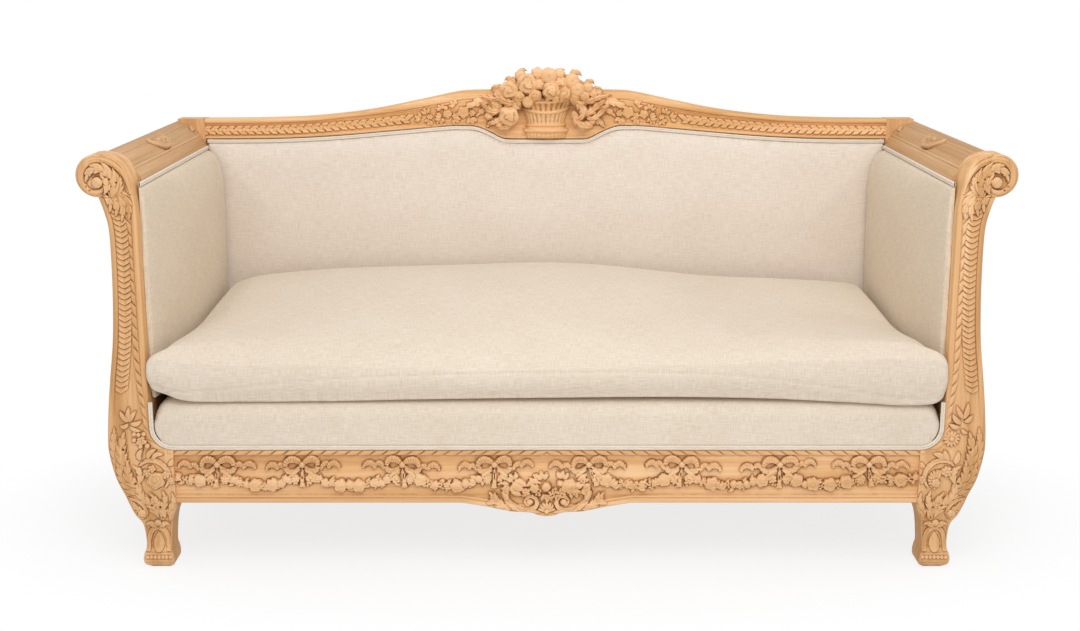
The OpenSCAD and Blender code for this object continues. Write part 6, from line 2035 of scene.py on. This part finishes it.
half_w, out = HALF_IN - PANEL_ROOM, (0, 1, 0)
x = spread(-half_w, half_w, 91, 0.6)[:, None]
foot, head = outside_low[2] + PANEL_ROOM, shoulder_z(x) - 0.9
z = spread(foot, head, 40, 0.6)
edge = np.minimum(np.minimum(HALF_IN - np.abs(x), z - foot), head - z)
places = points_at(x, lean_y(z) + BACK_PANEL_Y - PANEL_ROOM, z)
back_cover = outside_panel("outside_back_cover", places, edge, out)
lay_weave(back_cover, (1, 0, 0), (0, 0.3, 1))
finish_piece(back_cover, pad_linen, "frame", "linen", "outside_back_panel")
top_x = np.linspace(HALF_IN - 1, 1 - HALF_IN, 200)
loop = np.vstack([[(0, 0, foot), (HALF_IN - 1, 0, foot)], points_at(top_x, 0, shoulder_z(top_x) - 1.2),
                  [(1 - HALF_IN, 0, foot), (0, 0, foot)]])
loop[:, 1] = lean_y(loop[:, 2]) + BACK_PANEL_Y - PANEL_ROOM - 1
piping_round("outside_back_piping", loop, out, "outside_back_panel")

for side, hand in SIDES:
    out = (side, 0, 0)
    front_y, foot, head = flank_low[1] + PANEL_ROOM, flank_low[2] + PANEL_ROOM, flank_high[2] - PANEL_ROOM
    z = spread(foot, head, 60, 0.6)
    rear = lean_y(z) - (lean_y(head) - flank_high[1]) - PANEL_ROOM
    y = front_y + (rear - front_y) * spread(0, 1, 50, 0.6)[:, None]
    edge = np.minimum(np.minimum(y - flank_low[1], rear - y), np.minimum(z - foot, head - z))
    places = points_at(side * (flank_x(z) - PANEL_ROOM), y, z)
    cover = outside_panel(f"outside_arm_cover_{hand}", places, edge, out)
    lay_weave(cover, (0, 1, 0), (0, 0, 1))
    finish_piece(cover, pad_linen, "frame", "linen", f"outside_arm_panel_{hand}")
    middle_y, start_y = (flank_low[1] + flank_high[1]) / 2, flank_low[1] + 1
    loop = np.vstack([[(0, middle_y, foot)], points_at(0, rear - PANEL_ROOM, z),
                      [(0, middle_y, head), (0, start_y, head)], points_at(0, start_y, z[::-1]),
                      [(0, middle_y, foot)]])
    loop[:, 0] = side * (flank_x(loop[:, 2]) - PANEL_ROOM - 1)
    piping_round(f"outside_arm_piping_{hand}", loop, out, f"outside_arm_panel_{hand}")

# %% [markdown]
# Under the springs the webbing is basket-woven: each strap passes over one and under the next, so its
# height is a cosine of the distance along it, and neighbours are half a wave apart. Over the springs a
# hessian is stretched, and on it lies the stuffing of the deck, a hair pad with rolled edges.

# %% Webbing, hessian and stuffing
WEB_WIDE, WEB_PITCH, WEB_THICK, WEB_LIFT = 60.0, 104.0, 1.3, 0.8
web_low, web_high = node_box("seat_webbing")
web_z = (web_low[2] + web_high[2]) / 2


def strap(start, end, place, along, phase):
    """A ribbon along axis 0 or 1 whose middle rises and falls by the lift."""
    s = np.linspace(start, end, int((end - start) / 8))[:, None]
    lift = WEB_LIFT * np.cos(np.pi * s / WEB_PITCH + phase)
    across = np.array([-0.5, -0.17, 0.17, 0.5, 0.5, 0.17, -0.17, -0.5]) * WEB_WIDE + place
    up = np.array([-0.3, -0.5, -0.5, -0.3, 0.3, 0.5, 0.5, 0.3]) * WEB_THICK
    x, y = (s, across) if along == 0 else (across, s)
    return tube_shell(points_at(x, y, web_z + lift + up))


web_mid_y = (web_low[1] + web_high[1]) / 2
straps = [strap(web_low[0], web_high[0], web_mid_y + row * WEB_PITCH, 0, np.pi * row) for row in range(-2, 3)]
for column in range(-6, 7):
    phase = np.pi * (column + 1) - np.pi * web_mid_y / WEB_PITCH
    straps.append(strap(web_low[1], web_high[1], column * WEB_PITCH, 1, phase))
webbing = make_piece("woven_webbing", joined(straps), crease=40)
finish_piece(webbing, jute, "frame", "jute", "seat_webbing")


def laid_slab(name, low, high, roll, bumps):
    """Rings across a slab with rolled edges; its faces rise and sink by the sum of sines over the plan."""
    x, y = spread(low[0], high[0], 90, 0.4)[:, None], spread(low[1], high[1], 40, 0.4)
    near = np.minimum(np.minimum(x - low[0], high[0] - x), np.minimum(y - low[1], high[1] - y))
    half = 0.5 * (high[2] - low[2]) * (0.25 + 0.75 * rolled(near, roll))
    wave = bumps * np.sin(x / 89.0) ** 2 * np.sin(y / 55.0) ** 2 * rolled(near, 40)
    middle = (low[2] + high[2]) / 2
    top, under = points_at(x, y, middle + half - wave), points_at(x, y, middle - half)
    return make_piece(name, tube_shell(np.concatenate([top, under[:, ::-1]], 1)), crease=60)


hessian_low, hessian_high = node_box("spring_hessian")
hessian = laid_slab("stretched_hessian", hessian_low + 0.1, hessian_high - 0.1, 1.0, 0.0)
finish_piece(hessian, jute, "frame", "jute", "spring_hessian")
stuffing_low, stuffing_high = node_box("seat_stuffing")
stuffing = laid_slab("hair_stuffing_pad", stuffing_low + 0.2, stuffing_high - 0.2, 12.0, 2.5)
finish_piece(stuffing, hair, "frame", "stuffing", "seat_stuffing")

# %% [markdown]
# The remaining nodes of the frame keep their meshes, because their shape is right: plain rails, posts,
# braces, screws and springs. Each gets the material of the timber, cloth or wire it is made of.

# %% Finishes of the frame's own nodes
NODE_FINISHES = (
    (lime_upright, "rear_post_left", "rear_post_right"),
    (lime_shaded_depth, "side_seat_rail_left", "side_seat_rail_right"),
    (beech_across, "rear_seat_rail", "corner_braces", "back_lower_rail"),
    (beech_deep, "cross_rail_left", "cross_rail_right", "joint_pegs", "arm_dowels", "arm_lower_rail_left",
     "arm_lower_rail_right"),
    (beech_upright, "back_strut_left", "back_strut_right", "arm_strut_left", "arm_strut_right"),
    (spring_wire, "brace_screws", "seat_springs"),
)
for node_finish, *node_names in NODE_FINISHES:
    for node_name in node_names:
        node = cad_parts[node_name]
        node.data.materials.clear()
        node.data.materials.append(node_finish)
print("finished nodes:", sum(len(row) - 1 for row in NODE_FINISHES))

# %% Finish
low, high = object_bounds()
